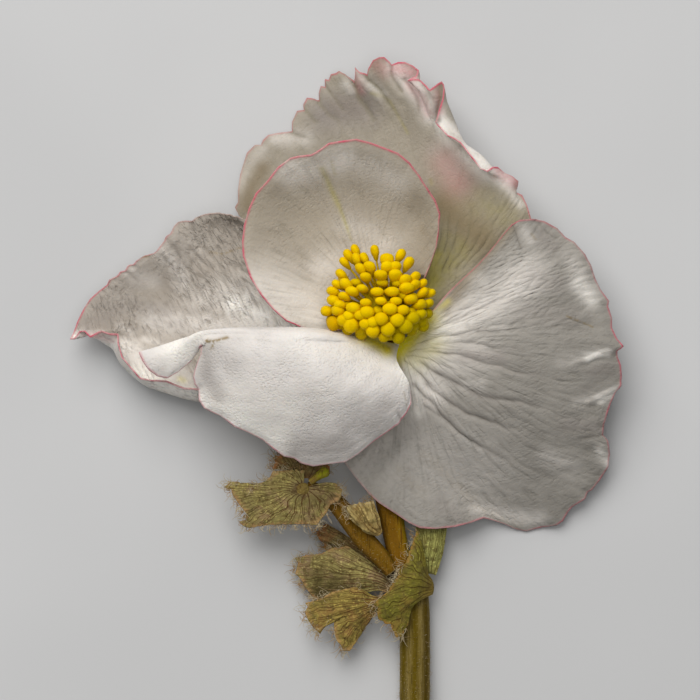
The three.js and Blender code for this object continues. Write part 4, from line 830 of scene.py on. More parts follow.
class Sheet:
    """A fine grid on a blade, with its distances in mm, that waves, creases and tints are worked on."""

    def __init__(self, blade, columns, rows, crowding=0.45):
        s = np.linspace(0, 1, rows + 1)
        self.u, self.v = np.meshgrid(
            np.linspace(0, 1, columns + 1), s * (1 + crowding - crowding * s), indexing="ij")
        self.points = blade.surface(self.u, self.v)
        step_u = np.linalg.norm(np.diff(self.points, axis=0), axis=-1)
        step_v = np.linalg.norm(np.diff(self.points, axis=1), axis=-1)
        self.across = np.pad(np.cumsum(step_u, axis=0), ((1, 0), (0, 0)))
        self.along = np.pad(np.cumsum(step_v, axis=1), ((0, 0), (1, 0)))
        self.width = self.across[-1:]
        self.margin = self.along[:, -1:] - self.along
        self.edge = np.minimum(self.margin, np.minimum(self.across, self.width - self.across))
        self.picture = to_picture(self.points)
        self.masks = {}

    def normals(self):
        normal = unit(np.cross(np.gradient(self.points, axis=0), np.gradient(self.points, axis=1)))
        return normal if normal[..., 2].mean() > 0 else -normal

    def near(self, places):
        if not places:
            return 1.0
        gaps = [np.linalg.norm(self.picture - (x, y), axis=-1) / radius for x, y, radius in places]
        return np.minimum(sum(np.exp(-(gap**2)) for gap in gaps), 1)

    def wave(self, kind, turn, narrow, long, seed):
        if kind in ("pleat", "crepe"):
            smooth_kind = {"pleat": "radial", "crepe": "plain"}[kind]
            return 1.9 * np.sqrt(self.wave(smooth_kind, turn, narrow, long, seed) ** 2 + 0.004) - 0.75
        if kind == "plain":
            angle = math.radians(turn)
            x, y = self.points[..., 0], self.points[..., 1]
            lengthways = x * math.cos(angle) + y * math.sin(angle)
            crossways = y * math.cos(angle) - x * math.sin(angle)
            warp = 0.4 * noise(x / 3, y / 3, seed + 50)
            return noise(crossways / narrow + warp, lengthways / long, seed)
        total, share = np.zeros_like(self.u), np.zeros_like(self.u)
        for step in range(6):
            count = 6.0 * 2**step
            weight = np.exp(-((np.log2(self.width / count / narrow)) ** 2) / 0.35)
            wander = 0.5 * noise(self.across / 4, self.along / 5, seed + 60 + step)
            total += weight * noise(self.u * count + wander, self.along / long, seed + step)
            share += weight
        return total / np.maximum(share, 0.3)

    def fit_margin(self, outline):
        """Moves the margin onto an outline in the picture, and the outer part of the blade with it."""
        tips = self.picture[:, -1]
        outline = np.reshape(outline, (-1, 2)).astype(float)
        step = np.linalg.norm(np.diff(outline, axis=0), axis=1)
        apart = 0.5 * step / step.sum() * len(tips)
        at = np.argmin(np.linalg.norm(tips[:, None] - outline, axis=-1), axis=0).astype(float)
        for k in range(1, len(at)):
            at[k] = max(at[k], at[k - 1] + apart[k - 1])
        at[-1] = min(at[-1], len(tips) - 1)
        for k in range(len(at) - 2, -1, -1):
            at[k] = min(at[k], at[k + 1] - apart[k])
        column = np.arange(len(tips))
        inner = np.clip(column, math.ceil(at[0]), math.floor(at[-1]))
        target = np.stack([np.interp(inner, at, outline[:, k]) for k in (0, 1)], axis=-1)
        fade = smooth(-np.abs(column - inner), -8, 0)[:, None]
        shift = (target - tips[inner]) * fade * (PIXEL, -PIXEL)
        broad = shift
        for _ in range(40):
            wide = np.pad(broad, ((1, 1), (0, 0)), mode="edge")
            broad = (wide[:-2] + 2 * wide[1:-1] + wide[2:]) / 4
        share, fine_share = (smooth(self.v, start, 1.0)[..., None] for start in (0.68, 0.93))
        self.points[..., :2] += broad[:, None] * share + (shift - broad)[:, None] * fine_share
        self.picture = to_picture(self.points)

    def add_tints(self, tints):
        for name in TINT_NAMES:
            self.masks[name] = strokes(self.picture, tints.get(name, ()))

    def add_relief(self, waves, creases, margin_creases):
        height = np.zeros_like(self.u)
        for kind, size, turn, narrow, long, seed, places in waves:
            uneven = 0.75 + 0.5 * noise(self.across / 6, self.along / 6, seed + 90)
            height += size * uneven * self.near(places) * self.wave(kind, turn, narrow, long, seed)
        height *= 1 - self.masks["calm"]
        x, y = self.picture[..., 0], self.picture[..., 1]
        wobbling = self.picture + 2.2 * np.stack([noise(x / 22, y / 22, 70 + k) for k in (0, 1)], -1)
        blotch = 0.75 + 0.5 * noise(x / 12, y / 12, 72)
        lines = [(width, size, None, line) for width, size, *line in creases]
        lines += [(width, size, start, line) for width, size, start, *line in margin_creases]
        for width, size, start, line in lines:
            away, share = line_distance(wobbling, line)
            if start is None:
                fade = smooth(share, 0.0, 0.12) * (1 - smooth(share, 0.55, 1.0))
            else:
                fade = smooth(self.v, start, 0.5 + 0.5 * start)
            groove = fade * np.exp(-((away / width) ** 2))
            height += size * groove
            # Painted shade in each sunk crease, in blotches
            if size < 0:
                self.masks["dark"] = np.maximum(self.masks["dark"], 2.4 * -size * blotch * groove)
        height *= smooth(self.along, 0.3, 2.4)
        self.points = self.points + self.normals() * height[..., None]
        # Painted shade in hollows: how far each point lies below the heights around it
        around = height
        for _ in range(10):
            wide = np.pad(around, 1, mode="edge")
            around = (wide[:-2, 1:-1] + wide[2:, 1:-1] + wide[1:-1, :-2] + wide[1:-1, 2:]) / 4
        self.masks["groove"] = np.clip((around - height) / 0.09, 0, 1)
        self.masks["lane"] = self.u * self.width.mean()
        self.masks["reach"] = self.along

    def add_rim(self, strengths, first_side, last_side):
        strength = np.interp(self.u, np.linspace(0, 1, len(strengths)), strengths)
        strength = strength * (0.80 + 0.6 * noise(self.across / 1.8, 0, 5))
        pink = self.masks["pink"]
        far_side = self.width - self.across
        for share, away in ((strength, self.margin), (first_side, self.across), (last_side, far_side)):
            pink = np.maximum(pink, share * (1 - smooth(away, 0.3 * PINK_WIDTH, 1.2 * PINK_WIDTH)))
        self.masks["pink"] = np.clip(pink, 0, 1)

    def crumple(self, crumples, folds, veins, seed):
        """Gives a bract its crumples, its folds and the soft quilt between its veins."""
        x, y = self.points[..., 0], self.points[..., 1]
        lane = self.u * veins + 0.3 * noise(self.across / 2.2, self.along / 2.2, seed)
        height = 0.03 * np.abs(np.sin(math.pi * lane)) * smooth(self.v, 0, 0.3)
        height += crumples * noise(x / 1.3, y / 1.3, seed + 2) + 0.05 * noise(x / 0.5, y / 0.5, seed + 3)
        height += folds * noise(self.u * 5, self.v * 1.2, seed + 5)
        height *= smooth(self.along, 0.1, 1.2)
        self.points = self.points + self.normals() * height[..., None]
        self.points[..., 2] += 0.4 * noise(self.u * veins * 0.7, 0, seed + 4) * self.v**4

    def closed(self, thickness, thin=0.4, coarse=3):
        """Points, faces and masks of a closed blade. Its lower face has fewer rows than its upper."""
        normal = self.normals()
        half = 0.5 * thickness * (thin + (1 - thin) * smooth(self.edge, 0, 1.6))[..., None]
        upper = self.points + normal * half
        lower = (self.points - normal * half)[:, ::coarse]
        top = np.arange(upper[..., 0].size).reshape(upper.shape[:2])
        bottom = top.size + np.arange(lower[..., 0].size).reshape(lower.shape[:2])
        faces = quads(top) + quads(bottom, down=True)
        faces += quads(np.stack([top[:, 0], bottom[:, 0]], 1), down=True)
        faces += quads(np.stack([top[:, -1], bottom[:, -1]], 1))
        for column, order in ((0, 1), (-1, -1)):
            for j in range(bottom.shape[1] - 1):
                row = top[column, j * coarse:(j + 1) * coarse + 1]
                ring = [*row.tolist(), int(bottom[column, j + 1]), int(bottom[column, j])]
                faces.append(ring[::order])
        masks = {
            name: np.concatenate([mask.ravel(), mask[:, ::coarse].ravel()])
            for name, mask in self.masks.items()
        }
        return np.concatenate([upper.reshape(-1, 3), lower.reshape(-1, 3)]), faces, masks


def build(name, points, faces, masks, material, slot, node=None):
    """Makes a mesh piece from points in mm, and sets it on the part."""
    points = np.reshape(points, (-1, 3)).astype(float)
    points[:, 2] = np.maximum(points[:, 2], FLOOR_CLEARANCE)
    mesh = bpy.data.meshes.new(name)
    mesh.from_pydata((points * MM).tolist(), [], faces)
    for key, values in masks.items():
        attribute = mesh.attributes.new(key, "FLOAT", "POINT")
        attribute.data.foreach_set("value", np.ravel(values).astype(np.float32))
    mesh.validate()
    make_outward(mesh)
    mesh.shade_smooth()
    mesh.materials.append(material)
    piece = bpy.data.objects.new(name, mesh)
    bpy.context.scene.collection.objects.link(piece)
    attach(piece, "root")
    if node:
        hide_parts(node)


def make_outward(mesh):
    """Turns a closed mesh inside out if its volume comes out negative."""
    mesh.calc_loop_triangles()
    corners = np.empty(len(mesh.loop_triangles) * 3, np.int32)
    mesh.loop_triangles.foreach_get("vertices", corners)
    points = np.empty(len(mesh.vertices) * 3, np.float32)
    mesh.vertices.foreach_get("co", points)
    a, b, c = points.reshape(-1, 3).astype(float)[corners.reshape(-1, 3).T]
    if np.einsum("ij,ij->", a, np.cross(b, c)) < 0:
        mesh.flip_normals()


def circle(sides):
    """Even turns round a circle."""
    return np.linspace(0, 2 * math.pi, sides, endpoint=False)


def sweep(path, radii, sides, side_hint, flat=1.0):
    """Rings of a tube along a path. flat squeezes its section."""
    along = unit(np.gradient(path, axis=0))
    side = unit(np.cross(along, side_hint) + 1e-6)
    up = np.cross(side, along)
    turn = circle(sides)[:, None]
    return path[:, None] + radii[:, None, None] * (
        side[:, None] * np.cos(turn) + flat * up[:, None] * np.sin(turn))


class Bundle:
    """Closed tubes that are gathered into one piece, with their masks."""

    def __init__(self):
        self.points, self.faces, self.masks, self.count = [], [], {}, 0

    def add(self, rings, **masks):
        self.faces += tube_faces(rings, self.count)
        self.points.append(rings.reshape(-1, 3))
        self.count += len(self.points[-1])
        for key, values in masks.items():
            self.masks.setdefault(key, []).append(np.broadcast_to(values, rings.shape[:2]).ravel())

    def build(self, name, *finish):
        masks = {key: np.concatenate(values) for key, values in self.masks.items()}
        build(name, np.concatenate(self.points), self.faces, masks, *finish)


class Material:
    """A node material that is built up by layers of colour."""

    def __init__(self, name, roughness=0.5, specular=0.35, **settings):
        self.material = bpy.data.materials.new(name)
        self.material.use_nodes = True
        self.tree = self.material.node_tree
        self.shader = self.tree.nodes["Principled BSDF"]
        self.shader.inputs["Roughness"].default_value = roughness
        self.shader.inputs["Specular IOR Level"].default_value = specular
        for key, value in settings.items():
            self.shader.inputs[key.replace("_", " ")].default_value = value
        self.colour = None
        self.place = self.node("TexCoord").outputs["Object"]

    def node(self, kind, settings=(), **inputs):
        node = self.tree.nodes.new("ShaderNode" + kind)
        for key, value in dict(settings).items():
            setattr(node, key, value)
        for key, value in inputs.items():
            self.put(node.inputs[key.replace("_", " ")], value)
        return node

    def put(self, socket, value):
        if isinstance(value, bpy.types.NodeSocket):
            self.tree.links.new(value, socket)
        elif isinstance(value, tuple) and len(value) == 3 and len(socket.default_value) == 4:
            socket.default_value = (*value, 1)
        else:
            socket.default_value = value

    def mask(self, name):
        return self.node("Attribute", {"attribute_name": name}).outputs["Fac"]

    def noise(self, size_mm, detail=2.0, stretch=None):
        place = self.place
        if stretch:
            place = self.node("Mapping", Vector=place, Scale=stretch).outputs[0]
        texture = self.node("TexNoise", Vector=place, Scale=1 / (size_mm * MM), Detail=detail)
        return texture.outputs["Fac"]

    def between(self, value, low, high, start=0.0, end=1.0):
        ramp = self.node(
            "MapRange", {"interpolation_type": "SMOOTHSTEP"}, Value=value,
            From_Min=low, From_Max=high, To_Min=start, To_Max=end)
        return ramp.outputs[0]

    def patches(self, size_mm, detail, *ramp):
        """A noise of its own, taken through a ramp."""
        return self.between(self.noise(size_mm, detail), *ramp)

    def math(self, operation, a, b=0.0):
        node = self.node("Math", {"operation": operation})
        self.put(node.inputs[0], a)
        self.put(node.inputs[1], b)
        return node.outputs[0]

    def times(self, a, b):
        return self.math("MULTIPLY", a, b)

    def creases(self, turn, narrow, long):
        """1 in long narrow hollows, 0 between them."""
        if turn is None:
            across = self.times(self.mask("lane"), 1 / narrow)
            along = self.times(self.mask("reach"), 1 / long)
            place = self.node("CombineXYZ", X=across, Y=along).outputs[0]
        else:
            turned = self.node("Mapping", Vector=self.place, Rotation=(0, 0, -math.radians(turn)))
            scale = (1 / (long * MM), 1 / (narrow * MM), 1 / (narrow * MM))
            place = self.node("Mapping", Vector=turned.outputs[0], Scale=scale).outputs[0]
        texture = self.node("TexNoise", Vector=place, Scale=1.0, Detail=2.0, Distortion=0.2)
        return self.between(texture.outputs["Fac"], 0.30, 0.54, 1, 0)

    def veins(self, count):
        """1 along veins that run out from the root and fork once."""
        wander = self.times(self.math("SUBTRACT", self.noise(3.0), 0.5), 1.6)
        lines = None
        for fork, share, low in ((1, 1.0, 0.0), (2, 0.7, 0.45)):
            lane = self.times(self.mask("turn"), count * fork)
            place = self.math("ADD", lane, self.times(wander, fork**0.5))
            away = self.math("ABSOLUTE", self.math("SUBTRACT", self.math("FRACT", place), 0.5))
            away = self.times(self.times(away, self.mask("lane")), 1 / (count * fork))
            reach = self.between(self.mask("out"), low, low + 0.15)
            line = self.times(self.between(away, 0.02, 0.07, share, 0), reach)
            lines = line if lines is None else self.math("MAXIMUM", lines, line)
        return lines

    def net(self, size_mm):
        """1 along the lines of a fine net, in patches."""
        cells = self.node(
            "TexVoronoi", {"feature": "DISTANCE_TO_EDGE"}, Vector=self.place, Scale=1 / (size_mm * MM))
        lines = self.between(cells.outputs["Distance"], 0.02, 0.10, 1, 0)
        return self.times(lines, self.patches(2, 2, 0.4, 0.6))

    def over(self, colour, factor):
        """Lays a colour over what is there, as far as factor says."""
        mix = self.node("Mix", {"data_type": "RGBA"})
        self.put(mix.inputs[0], factor)
        self.put(mix.inputs[6], self.colour)
        self.put(mix.inputs[7], colour)
        self.colour = mix.outputs[2]

    def finish(self, height=None, bump_mm=1.0, roughness=None):
        self.put(self.shader.inputs["Base Color"], self.colour)
        if roughness is not None:
            self.put(self.shader.inputs["Roughness"], roughness)
        if height is not None:
            bump = self.node("Bump", Height=height, Strength=1.0, Distance=bump_mm * MM)
            self.put(self.shader.inputs["Normal"], bump.outputs[0])
        return self.material


def petal_material(name, colours, creases):
    face, shaded, groove = colours
    skin = Material(
        name, roughness=0.6, specular=0.15, Subsurface_Weight=0.12, Subsurface_Radius=(1.0, 0.8, 0.6),
        Subsurface_Scale=0.6 * MM, Sheen_Weight=0.12, Sheen_Roughness=0.5)
    fine = skin.noise(0.35, 3)
    # Each petal's face colour is set lighter or darker as painted light and shade, for how light falls on
    # it
    skin.colour = face
    skin.over(shaded, skin.patches(6, 3, 0.40, 0.72))
    skin.over(shaded, skin.patches(0.9, 4, 0.46, 0.70, 0, 0.4))
    # Painted light: lighter where the petals lie in shade, and painted highlights
    skin.over(PALE_PAINTED_LIGHT, skin.mask("pale"))
    skin.over(BRIGHT_PAINTED_LIGHT, skin.mask("light"))
    # Painted shade: darker where shade and shadow fall on the petals, here and two lines down
    skin.over(PAINTED_SHADE, skin.mask("dark"))
    skin.over(OLIVE, skin.times(skin.mask("olive"), skin.patches(1.6, 3, 0.25, 0.7, 0.6, 1)))
    skin.over(PAINTED_UMBER_SHADE, skin.mask("umber"))
    relief = skin.times(fine, 0.06)
    patchy = skin.patches(4, 2, 0.35, 0.6, 0.4, 1)
    patchy = skin.times(patchy, skin.math("SUBTRACT", 1.0, skin.mask("calm")))
    # Fine creases, bumped in and darkened with painted shade in their hollows
    for turn, narrow, long, depth, darkness in creases:
        hollow = skin.times(skin.creases(turn, narrow, long), patchy)
        skin.over(groove, skin.times(hollow, darkness))
        relief = skin.math("SUBTRACT", relief, skin.times(hollow, depth))
    # Painted shade in the grooves of the relief
    skin.over(groove, skin.times(skin.mask("groove"), 0.5))
    # The throat's own green, set light as painted light
    skin.over(THROAT_GREEN_AND_PAINTED_LIGHT, skin.times(skin.mask("green"), skin.between(fine, 0.15, 0.6, 0.8, 1)))
    skin.over(BRUISE_BROWN, skin.times(skin.mask("brown"), skin.patches(0.5, 3, 0.3, 0.6)))
    skin.over(PINK, skin.times(skin.mask("pink"), skin.between(fine, 0.1, 0.6, 0.55, 1)))
    return skin.finish(relief, roughness=skin.between(fine, 0.3, 0.7, 0.48, 0.66))


def bract_material(name, colours, veins):
    face, dry, vein, tip = colours
    leaf = Material(
        name, roughness=0.62, specular=0.2, Specular_Tint=WARM, Subsurface_Weight=0.1,
        Subsurface_Radius=(0.8, 0.7, 0.3), Subsurface_Scale=0.5 * MM)
    leaf.colour = face
    leaf.over(dry, leaf.patches(2.4, 4, 0.44, 0.68, 0, 0.8))
    leaf.over(DIRT, leaf.patches(1.0, 5, 0.50, 0.66, 0, 0.7))
    leaf.over(tuple(BRACT_SHINE * c for c in face), leaf.patches(0.36, 4, 0.54, 0.68, 0, 0.7))
    lines = leaf.veins(veins)
    leaf.over(dry, leaf.between(leaf.mask("out"), 0.45, 0.05, 0, 0.6))
    leaf.over(vein, leaf.times(leaf.net(0.75), 0.28))
    leaf.over(vein, leaf.times(lines, 0.82))
    # Painted shade where the bracts lie in shadow
    leaf.over(BRACT_SHADE, leaf.times(leaf.mask("shade"), 0.75))
    leaf.over(tip, leaf.times(leaf.mask("tip"), leaf.patches(0.5, 3, 0.35, 0.62, 0.1, 0.9)))
    relief = leaf.math("SUBTRACT", leaf.times(leaf.noise(0.3, 4), 0.14), leaf.times(lines, 0.10))
    return leaf.finish(relief, roughness=leaf.patches(0.8, 2, 0.3, 0.7, 0.5, 0.8))


def stalk_material(name, colours):
    edge, middle, streak, sunny = colours
    stalk = Material(
        name, roughness=0.62, specular=0.10, Specular_Tint=WARM, Subsurface_Weight=0.08,
        Subsurface_Radius=(0.8, 0.6, 0.2), Subsurface_Scale=0.6 * MM)
    along = stalk.noise(0.30, 3, stretch=(1.0, 0.05, 1.0))
    stalk.colour = edge
    stalk.over(sunny, stalk.between(stalk.mask("right"), 0.1, 0.8))
    stalk.over(middle, stalk.times(stalk.mask("stripe"), stalk.between(along, 0.38, 0.56, 0.35, 1)))
    stalk.over(streak, stalk.between(along, 0.52, 0.68, 0, 0.8))
    stalk.over(STALK_SPECK, stalk.patches(0.32, 3, 0.60, 0.70, 0, 0.6))
    stalk.over(STALK_FLECK, stalk.patches(0.22, 2, 0.63, 0.72, 0, 0.55))
    stalk.over(CUT_END, stalk.times(stalk.mask("tip"), 0.8))
    relief = stalk.math("ADD", stalk.times(along, 0.09), stalk.times(stalk.noise(0.35, 3), 0.09))
    return stalk.finish(relief, roughness=stalk.patches(1.0, 2, 0.3, 0.7, 0.45, 0.7))


# Petals

for name, table in PETALS.items():
    looks = PETAL_LOOKS[name]
    sheet = Sheet(Blade(table, FLOWER, looks["scallops"], looks["ruffle"]), *looks["grid"])
    sheet.fit_margin(OUTLINES[name])
    sheet.add_tints(TINTS[name])
    sheet.add_relief(WAVES[name], CREASES.get(name, ()), MARGIN_CREASES.get(name, ()))
    sheet.add_rim(*looks["rim"])
    skin = petal_material(name + "_skin", looks["colours"], looks["fine"])
    build(name + "_fine", *sheet.closed(PETAL_THICKNESS), skin, "petal", name)

# Bracts

rng = np.random.default_rng(20)
hairs = Bundle()


def add_hair(foot, out, length, radius, curl):
    """A thin tapered hair from foot that curls as it goes."""
    out = unit(out)
    side = unit(np.cross(out, (0.1, 0.1, 1)) * (1, 1, 1.5) + 0.3 * rng.normal(size=3))
    steps = np.linspace(0, 1, HAIR_STEPS)
    bend = curl * steps**1.4
    forward = np.cumsum(np.cos(bend)) / HAIR_STEPS
    sideways = np.cumsum(np.sin(bend)) / HAIR_STEPS
    way = np.outer(forward, out) + np.outer(sideways, side) + np.outer(0.2 * steps**2, (0, 0, 1))
    hairs.add(sweep(foot + length * way, radius * (1 - 0.7 * steps), HAIR_SIDES, (0.2, 0.1, 1)))


for name, table in BRACTS.items():
    slot, veins, crumples, folds, colours = BRACT_LOOKS[name]
    columns = max(120, veins * 14)
    scallops = (veins * 3.3, BRACT_SCALLOP)
    sheet = Sheet(Blade(table, NODE, scallops, nicks=NICKS[name]), columns, BRACT_ROWS, crowding=0.2)
    if name in OUTLINES:
        sheet.fit_margin(OUTLINES[name])
    sheet.crumple(crumples, folds, veins, 200 + len(name))
    sheet.masks = {
        "turn": sheet.u, "out": sheet.v, "lane": sheet.width + 0 * sheet.u,
        "tip": 1 - smooth(sheet.margin, 0.1, 0.9), "shade": strokes(sheet.picture, BRACT_SHADES),
    }
    leaf = bract_material(name + "_skin", colours, veins)
    build(name + "_fine", *sheet.closed(BRACT_THICKNESS, thin=0.6), leaf, slot, name)
    for place in rng.random(int(sheet.across[-1, -1] * HAIRS_PER_MM)):
        i = int(place * (columns - 1))
        foot = sheet.points[i, -1]
        out = unit(foot - sheet.points[i, -8]) + 0.55 * rng.normal(size=3) * (1, 1, 0.6)
        add_hair(foot, out, rng.uniform(0.7, 2.3), HAIR_RADIUS, rng.normal() * 3.2)
    if name == "bract_upper":
        scar_place = sheet.points[:, 0].mean(axis=0)

# Stalks


def stalk_grid(path, ridges, depth, steps, spread, round_end, seed):
    """Rings round a stalk, how deep each point is between ridges, and how far to the right it looks."""
    sections = spline_weights(np.linspace(0, len(path) - 1, steps + 1), len(path)) @ np.array(path)
    centres = sections[:, :3] + NODE
    along = unit(np.gradient(centres, axis=0))
    side = unit(np.cross(along, (0.0, 0.0, 1.0)))
    up = np.cross(side, along)
    turn = circle(STALK_SIDES)[None, :]
    length = np.arange(steps + 1)[:, None] * 0.2
    hollow = 0.5 - 0.5 * np.cos(ridges * turn + 0.5 * noise(length / 14, 0 * turn, seed))
    uneven = noise(turn * 2.5, length / 3, seed + 1)
    radius = sections[:, 3:] * (1 - depth * hollow**0.7 + 0.02 * uneven)
    if round_end:
        left = np.linalg.norm(centres - centres[-1], axis=1)[:, None]
        radius = radius * np.sqrt(np.clip(1 - np.clip(1 - left / round_end, 0, 1) ** 2, 0.01, 1))
    rightwards = side[:, None] * (radius * np.sin(turn) * spread)[..., None]
    points = centres[:, None] + rightwards - up[:, None] * (radius * np.cos(turn))[..., None]
    return points, hollow, side[:, :1] * np.sin(turn)


for name, path in STALKS.items():
    slot, *shape, hair_count, last_ring, colours = STALK_LOOKS[name]
    rings, hollow, right = stalk_grid(path, *shape, 300 + len(name))
    cut = np.zeros_like(hollow)
    cut[[0, -1]] = 1
    if name == "pedicel_stub":
        cut[-1] = 0
        right = np.linspace(-0.4, 1.6, len(rings))[:, None] + 0 * hollow
    masks = {"stripe": np.clip(1 - hollow, 0, 1), "tip": cut, "right": right}
    wood = stalk_material(name + "_skin", colours)
    build(name + "_fine", rings, tube_faces(rings), masks, wood, slot, name)
    for _ in range(hair_count):
        i, k = rng.integers(2, last_ring), rng.integers(0, STALK_SIDES)
        out = unit(rings[i, k] - rings[i].mean(axis=0))
        if out[2] > -0.3:
            out = out + 0.3 * rng.normal(size=3)
            add_hair(rings[i, k], out, rng.uniform(0.2, 0.7), STALK_HAIR_RADIUS, rng.normal())

hair = Material("hair_skin", roughness=0.4, specular=0.4)
hair.colour = HAIR_LIGHT
hair.over(HAIR_BROWN, hair.patches(1.6, 2, 0.44, 0.62))
hairs.build("bract_hairs", hair.finish(), "dry_bract")


def ball(centre, size, lumps=0.09, seed=400):
    """A lumpy ball as rings of points."""
    turn = circle(BALL_SIDES)[None, :]
    rise = np.linspace(-1.5, 1.5, BALL_LEVELS)[:, None]
    east, north, up = np.cos(turn) * np.cos(rise), np.sin(turn) * np.cos(rise), np.sin(rise) + 0 * turn
    uneven = 1 + lumps * noise(np.cos(turn) * 3 + 5, rise * 4 + np.sin(turn) * 3, seed)
    return np.stack([east, north, up], axis=-1) * uneven[..., None] * size + centre


# The middle of the upper bract: a low boss with the ring-shaped scar of something that fell off
boss = ball(scar_place + (0.0, 0.0, 0.05), BOSS_SIZE, lumps=0.12, seed=410)
away = np.abs(np.linalg.norm(to_picture(boss) - SCAR_MIDDLE, axis=-1) - SCAR_RADIUS)
scar = np.exp(-((away / 0.9) ** 2)) * (boss[..., 2] > scar_place[2])
boss[..., 2] += SCAR_HEIGHT * scar
zero = np.zeros_like(scar)
boss_skin = bract_material("boss_skin", BOSS_COLOURS, 3)
masks = {"tip": np.clip(scar, 0, 1), "turn": zero, "out": zero, "lane": zero + 9}
build("bract_boss", boss, tube_faces(boss), masks, boss_skin, "bract")

# Stamens

stamens = Bundle()


def dome(x, y):
    """The height of the dome over a picture point, and the way an anther points there."""
    right, up = x - DOME["top"][0], DOME["top"][1] - y
    across = right / (DOME["right"] if right > 0 else DOME["left"])
    rise = up / (DOME["up"] if up > 0 else DOME["down"])
    spread = min(math.hypot(across, rise), 1.0)
    steepest = math.radians(34 + 46 * smooth(rise, -0.8, 0.1))
    tilt = steepest * smooth(spread, 0.30, 0.95)
    flat = unit(np.array([right, up, 0.0]) + 1e-6)
    axis = flat * math.sin(tilt) + np.array([0, 0, math.cos(tilt)])
    return DOME["low"] + DOME["height"] * math.sqrt(1 - 0.94 * spread**2), axis


def add_stamen(x, y, size, sink=0.0, shade=0.0):
    """A bent filament from the column and a flattened club of an anther at its end."""
    height, axis = dome(x, y)
    axis = unit(axis + 0.10 * rng.normal(size=3))
    length = ANTHER_LENGTH * (0.6 + 0.4 * size)
    neck = from_picture(x, y, height - sink) - axis * length * 0.55
    control = neck - axis * 2.2
    t = np.linspace(0, 1, STALK_STEPS)[:, None]
    stalk = FOOT * (1 - t) ** 2 + control * 2 * t * (1 - t) + neck * t**2
    s = np.linspace(0.04, 1, CLUB_STEPS)
    swell = 0.22 + 0.78 * np.sin(0.5 * math.pi * np.clip(s / WIDEST, 0, 1)) ** 1.3
    tip = np.sqrt(np.clip(1 - (np.abs(s - WIDEST) / 0.385) ** 2.8, 0.001, 1))
    club = ANTHER_RADIUS * size**0.6 * swell * np.where(s > WIDEST, tip, 1)
    path = np.concatenate([stalk, neck + np.outer(s, axis) * length])
    radii = np.concatenate([np.linspace(0.20, 0.14, STALK_STEPS), club])
    flat = ANTHER_FLAT + (1 - ANTHER_FLAT) * smooth(y, 296, 330)
    flat = np.concatenate([np.ones(STALK_STEPS), np.linspace(1, flat, 5), np.full(CLUB_STEPS - 5, flat)])
    age = np.concatenate([np.linspace(0, 0.3, STALK_STEPS), np.linspace(0.4, 1, CLUB_STEPS)])[:, None]
    # A random orange tone, with painted shade towards the lower left of the dome
    warm = max(0.35 * rng.random(), smooth((352 - x) / 30 + (y - 318) / 16, 0.2, 1.0))
    # Painted shade, darker towards the lower right of the dome
    shade = max(shade, smooth((y + 0.8 * (x - 384) - 322) / 26, 0.0, 1.0))
    rings = sweep(path, radii, TUBE_SIDES, (0.04, 1, 0.05), flat[:, None, None])
    stamens.add(rings, age=age, warm=warm, shade=shade)


for x, y, size in ANTHERS:
    add_stamen(x, y, size)
for i in range(FILLERS):
    spread, turn = 0.9 * math.sqrt((i + 0.5) / FILLERS), i * math.pi * (3 - math.sqrt(5))
    right, up = spread * math.cos(turn), spread * math.sin(turn)
    x = DOME["top"][0] + right * (DOME["right"] if right > 0 else DOME["left"])
    y = DOME["top"][1] - up * (DOME["up"] if up > 0 else 0.7 * DOME["down"])
    in_hollow = min(math.hypot(x - a, y - b) for a, b in HOLLOWS) <= HOLLOW_RADIUS
    if not in_hollow and not (up > 0.55 and abs(right) < 0.5):
        add_stamen(x, y, FILLER_SIZE, FILLER_SINK, FILLER_SHADE)

anther = Material(
    "anther_skin", roughness=0.5, specular=0.10, Specular_Tint=(1.0, 0.75, 0.05, 1),
    Subsurface_Weight=0.12, Subsurface_Radius=(1.0, 0.7, 0.02), Subsurface_Scale=0.8 * MM)
anther.colour = ANTHER_YOUNG
anther.over(ANTHER_YELLOW, anther.between(anther.mask("age"), 0.30, 0.75))
anther.over(ANTHER_DULL, anther.patches(1.2, 3, 0.50, 0.75, 0, 0.5))
anther.over(ANTHER_ORANGE_AND_SHADE, anther.times(anther.mask("warm"), 0.8))
# Painted shade on the deeper anthers and those to the lower right
anther.over(ANTHER_PAINTED_SHADE, anther.times(anther.mask("shade"), 0.7))
anther.over(ANTHER_SPECKS, anther.patches(0.16, 2, 0.60, 0.72, 0, 0.35))
stamens.build("stamens_fine", anther.finish(anther.noise(0.26, 3), 0.06), "stamen", "stamens")

column = ball(COLUMN_MIDDLE, COLUMN_SIZE)
heart = Material("column_skin", roughness=0.6, specular=0.1, Specular_Tint=WARM)
heart.colour = COLUMN_YELLOW
heart.over(COLUMN_BROWN, heart.patches(1.6, 3, 0.50, 0.66))
build("stamen_column", column, tube_faces(column), {}, heart.finish(heart.noise(0.4, 3), 0.1), "stamen")

# The receptacle, a knob with a rounded top

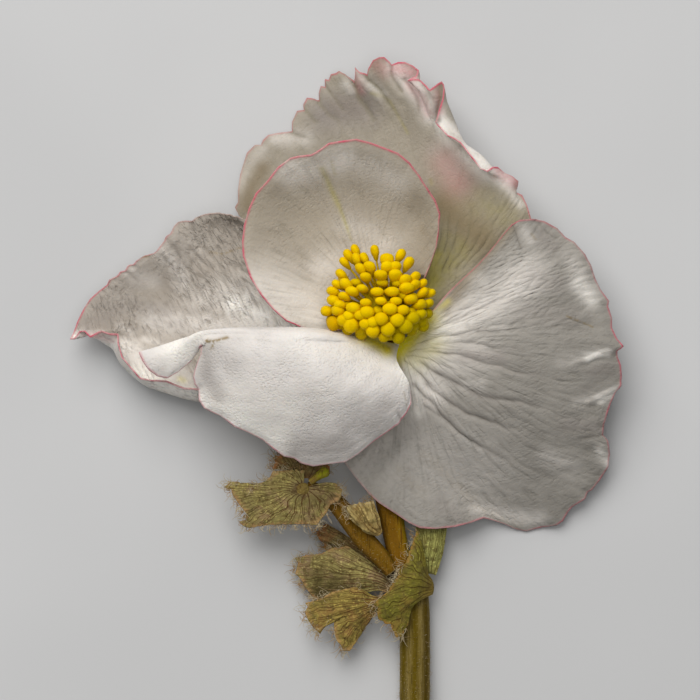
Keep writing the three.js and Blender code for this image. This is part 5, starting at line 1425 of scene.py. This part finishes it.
section = spline_weights(np.linspace(0, len(KNOB) - 1, KNOB_STEPS), len(KNOB)) @ np.array(KNOB)
turn = circle(KNOB_SIDES)
radius = section[:, :1] * (1 + 0.02 * np.cos(KNOB_RIBS * turn))
knob = np.stack([radius * np.cos(turn), radius * np.sin(turn), section[:, 1:] + 0 * turn], axis=-1)
seat = Material("receptacle_skin", roughness=0.5, specular=0.3)
seat.colour = KNOB_YELLOW_AND_PAINTED_LIGHT
seat.over(KNOB_OLIVE, seat.patches(0.8, 3, 0.4, 0.65))
seat_skin = seat.finish(seat.noise(0.4, 3), 0.08)
build("receptacle_fine", knob + FLOWER, tube_faces(knob), {}, seat_skin, "receptacle", "receptacle")

# Floor, light and camera

ground = Material("floor_skin", roughness=0.8, specular=0.15)
ground.colour = FLOOR_PALE
ground.over(FLOOR_GREY, ground.patches(90, 2, 0.4, 0.6))
turn = circle(FLOOR_SIDES)
disc = FLOOR_RADIUS * np.stack([np.cos(turn), np.sin(turn), 0 * turn], axis=-1)
floor_mesh = bpy.data.meshes.new("floor")
floor_mesh.from_pydata((disc * MM).tolist(), [], [list(range(FLOOR_SIDES))])
floor_mesh.materials.append(ground.finish())
floor = bpy.data.objects.new("floor", floor_mesh)
bpy.context.scene.collection.objects.link(floor)


def soft_light(name, place, size, power, colour):
    """A square light at a place in metres that faces the flower."""
    data = bpy.data.lights.new(name, "AREA")
    data.size, data.energy, data.color = size, power, colour
    light = bpy.data.objects.new(name, data)
    light.location = place
    aim = unit(np.array([0.0, 0.005, 0.01]) - place)
    light.rotation_mode = "QUATERNION"
    light.rotation_quaternion = Vector(aim.tolist()).to_track_quat("-Z", "Y")
    bpy.context.scene.collection.objects.link(light)


soft_light("key", (-0.22, 0.58, 0.70), 0.75, 8.4, (1.0, 0.975, 0.95))
soft_light("fill", (0.05, 0.0, 1.05), 0.8, 2.4, (1.0, 0.985, 0.96))
world = bpy.data.worlds.new("studio")
world.use_nodes = True
background = world.node_tree.nodes["Background"]
background.inputs["Color"].default_value = (0.84, 0.83, 0.82, 1)
background.inputs["Strength"].default_value = 0.20
bpy.context.scene.world = world
bpy.context.scene.view_settings.view_transform = "Standard"

camera_data = bpy.data.cameras.new("camera")
camera_data.sensor_width = 36.0
picture_width = 2 * PICTURE_MIDDLE * PIXEL
camera_data.lens = camera_data.sensor_width * (CAMERA_HEIGHT - SHARP_HEIGHT) / picture_width
camera_data.clip_start, camera_data.clip_end = 0.01, 50.0
camera = bpy.data.objects.new("camera", camera_data)
camera.location = (VIEW[0] * MM, VIEW[1] * MM, CAMERA_HEIGHT * MM)
bpy.context.scene.collection.objects.link(camera)
bpy.context.scene.camera = camera
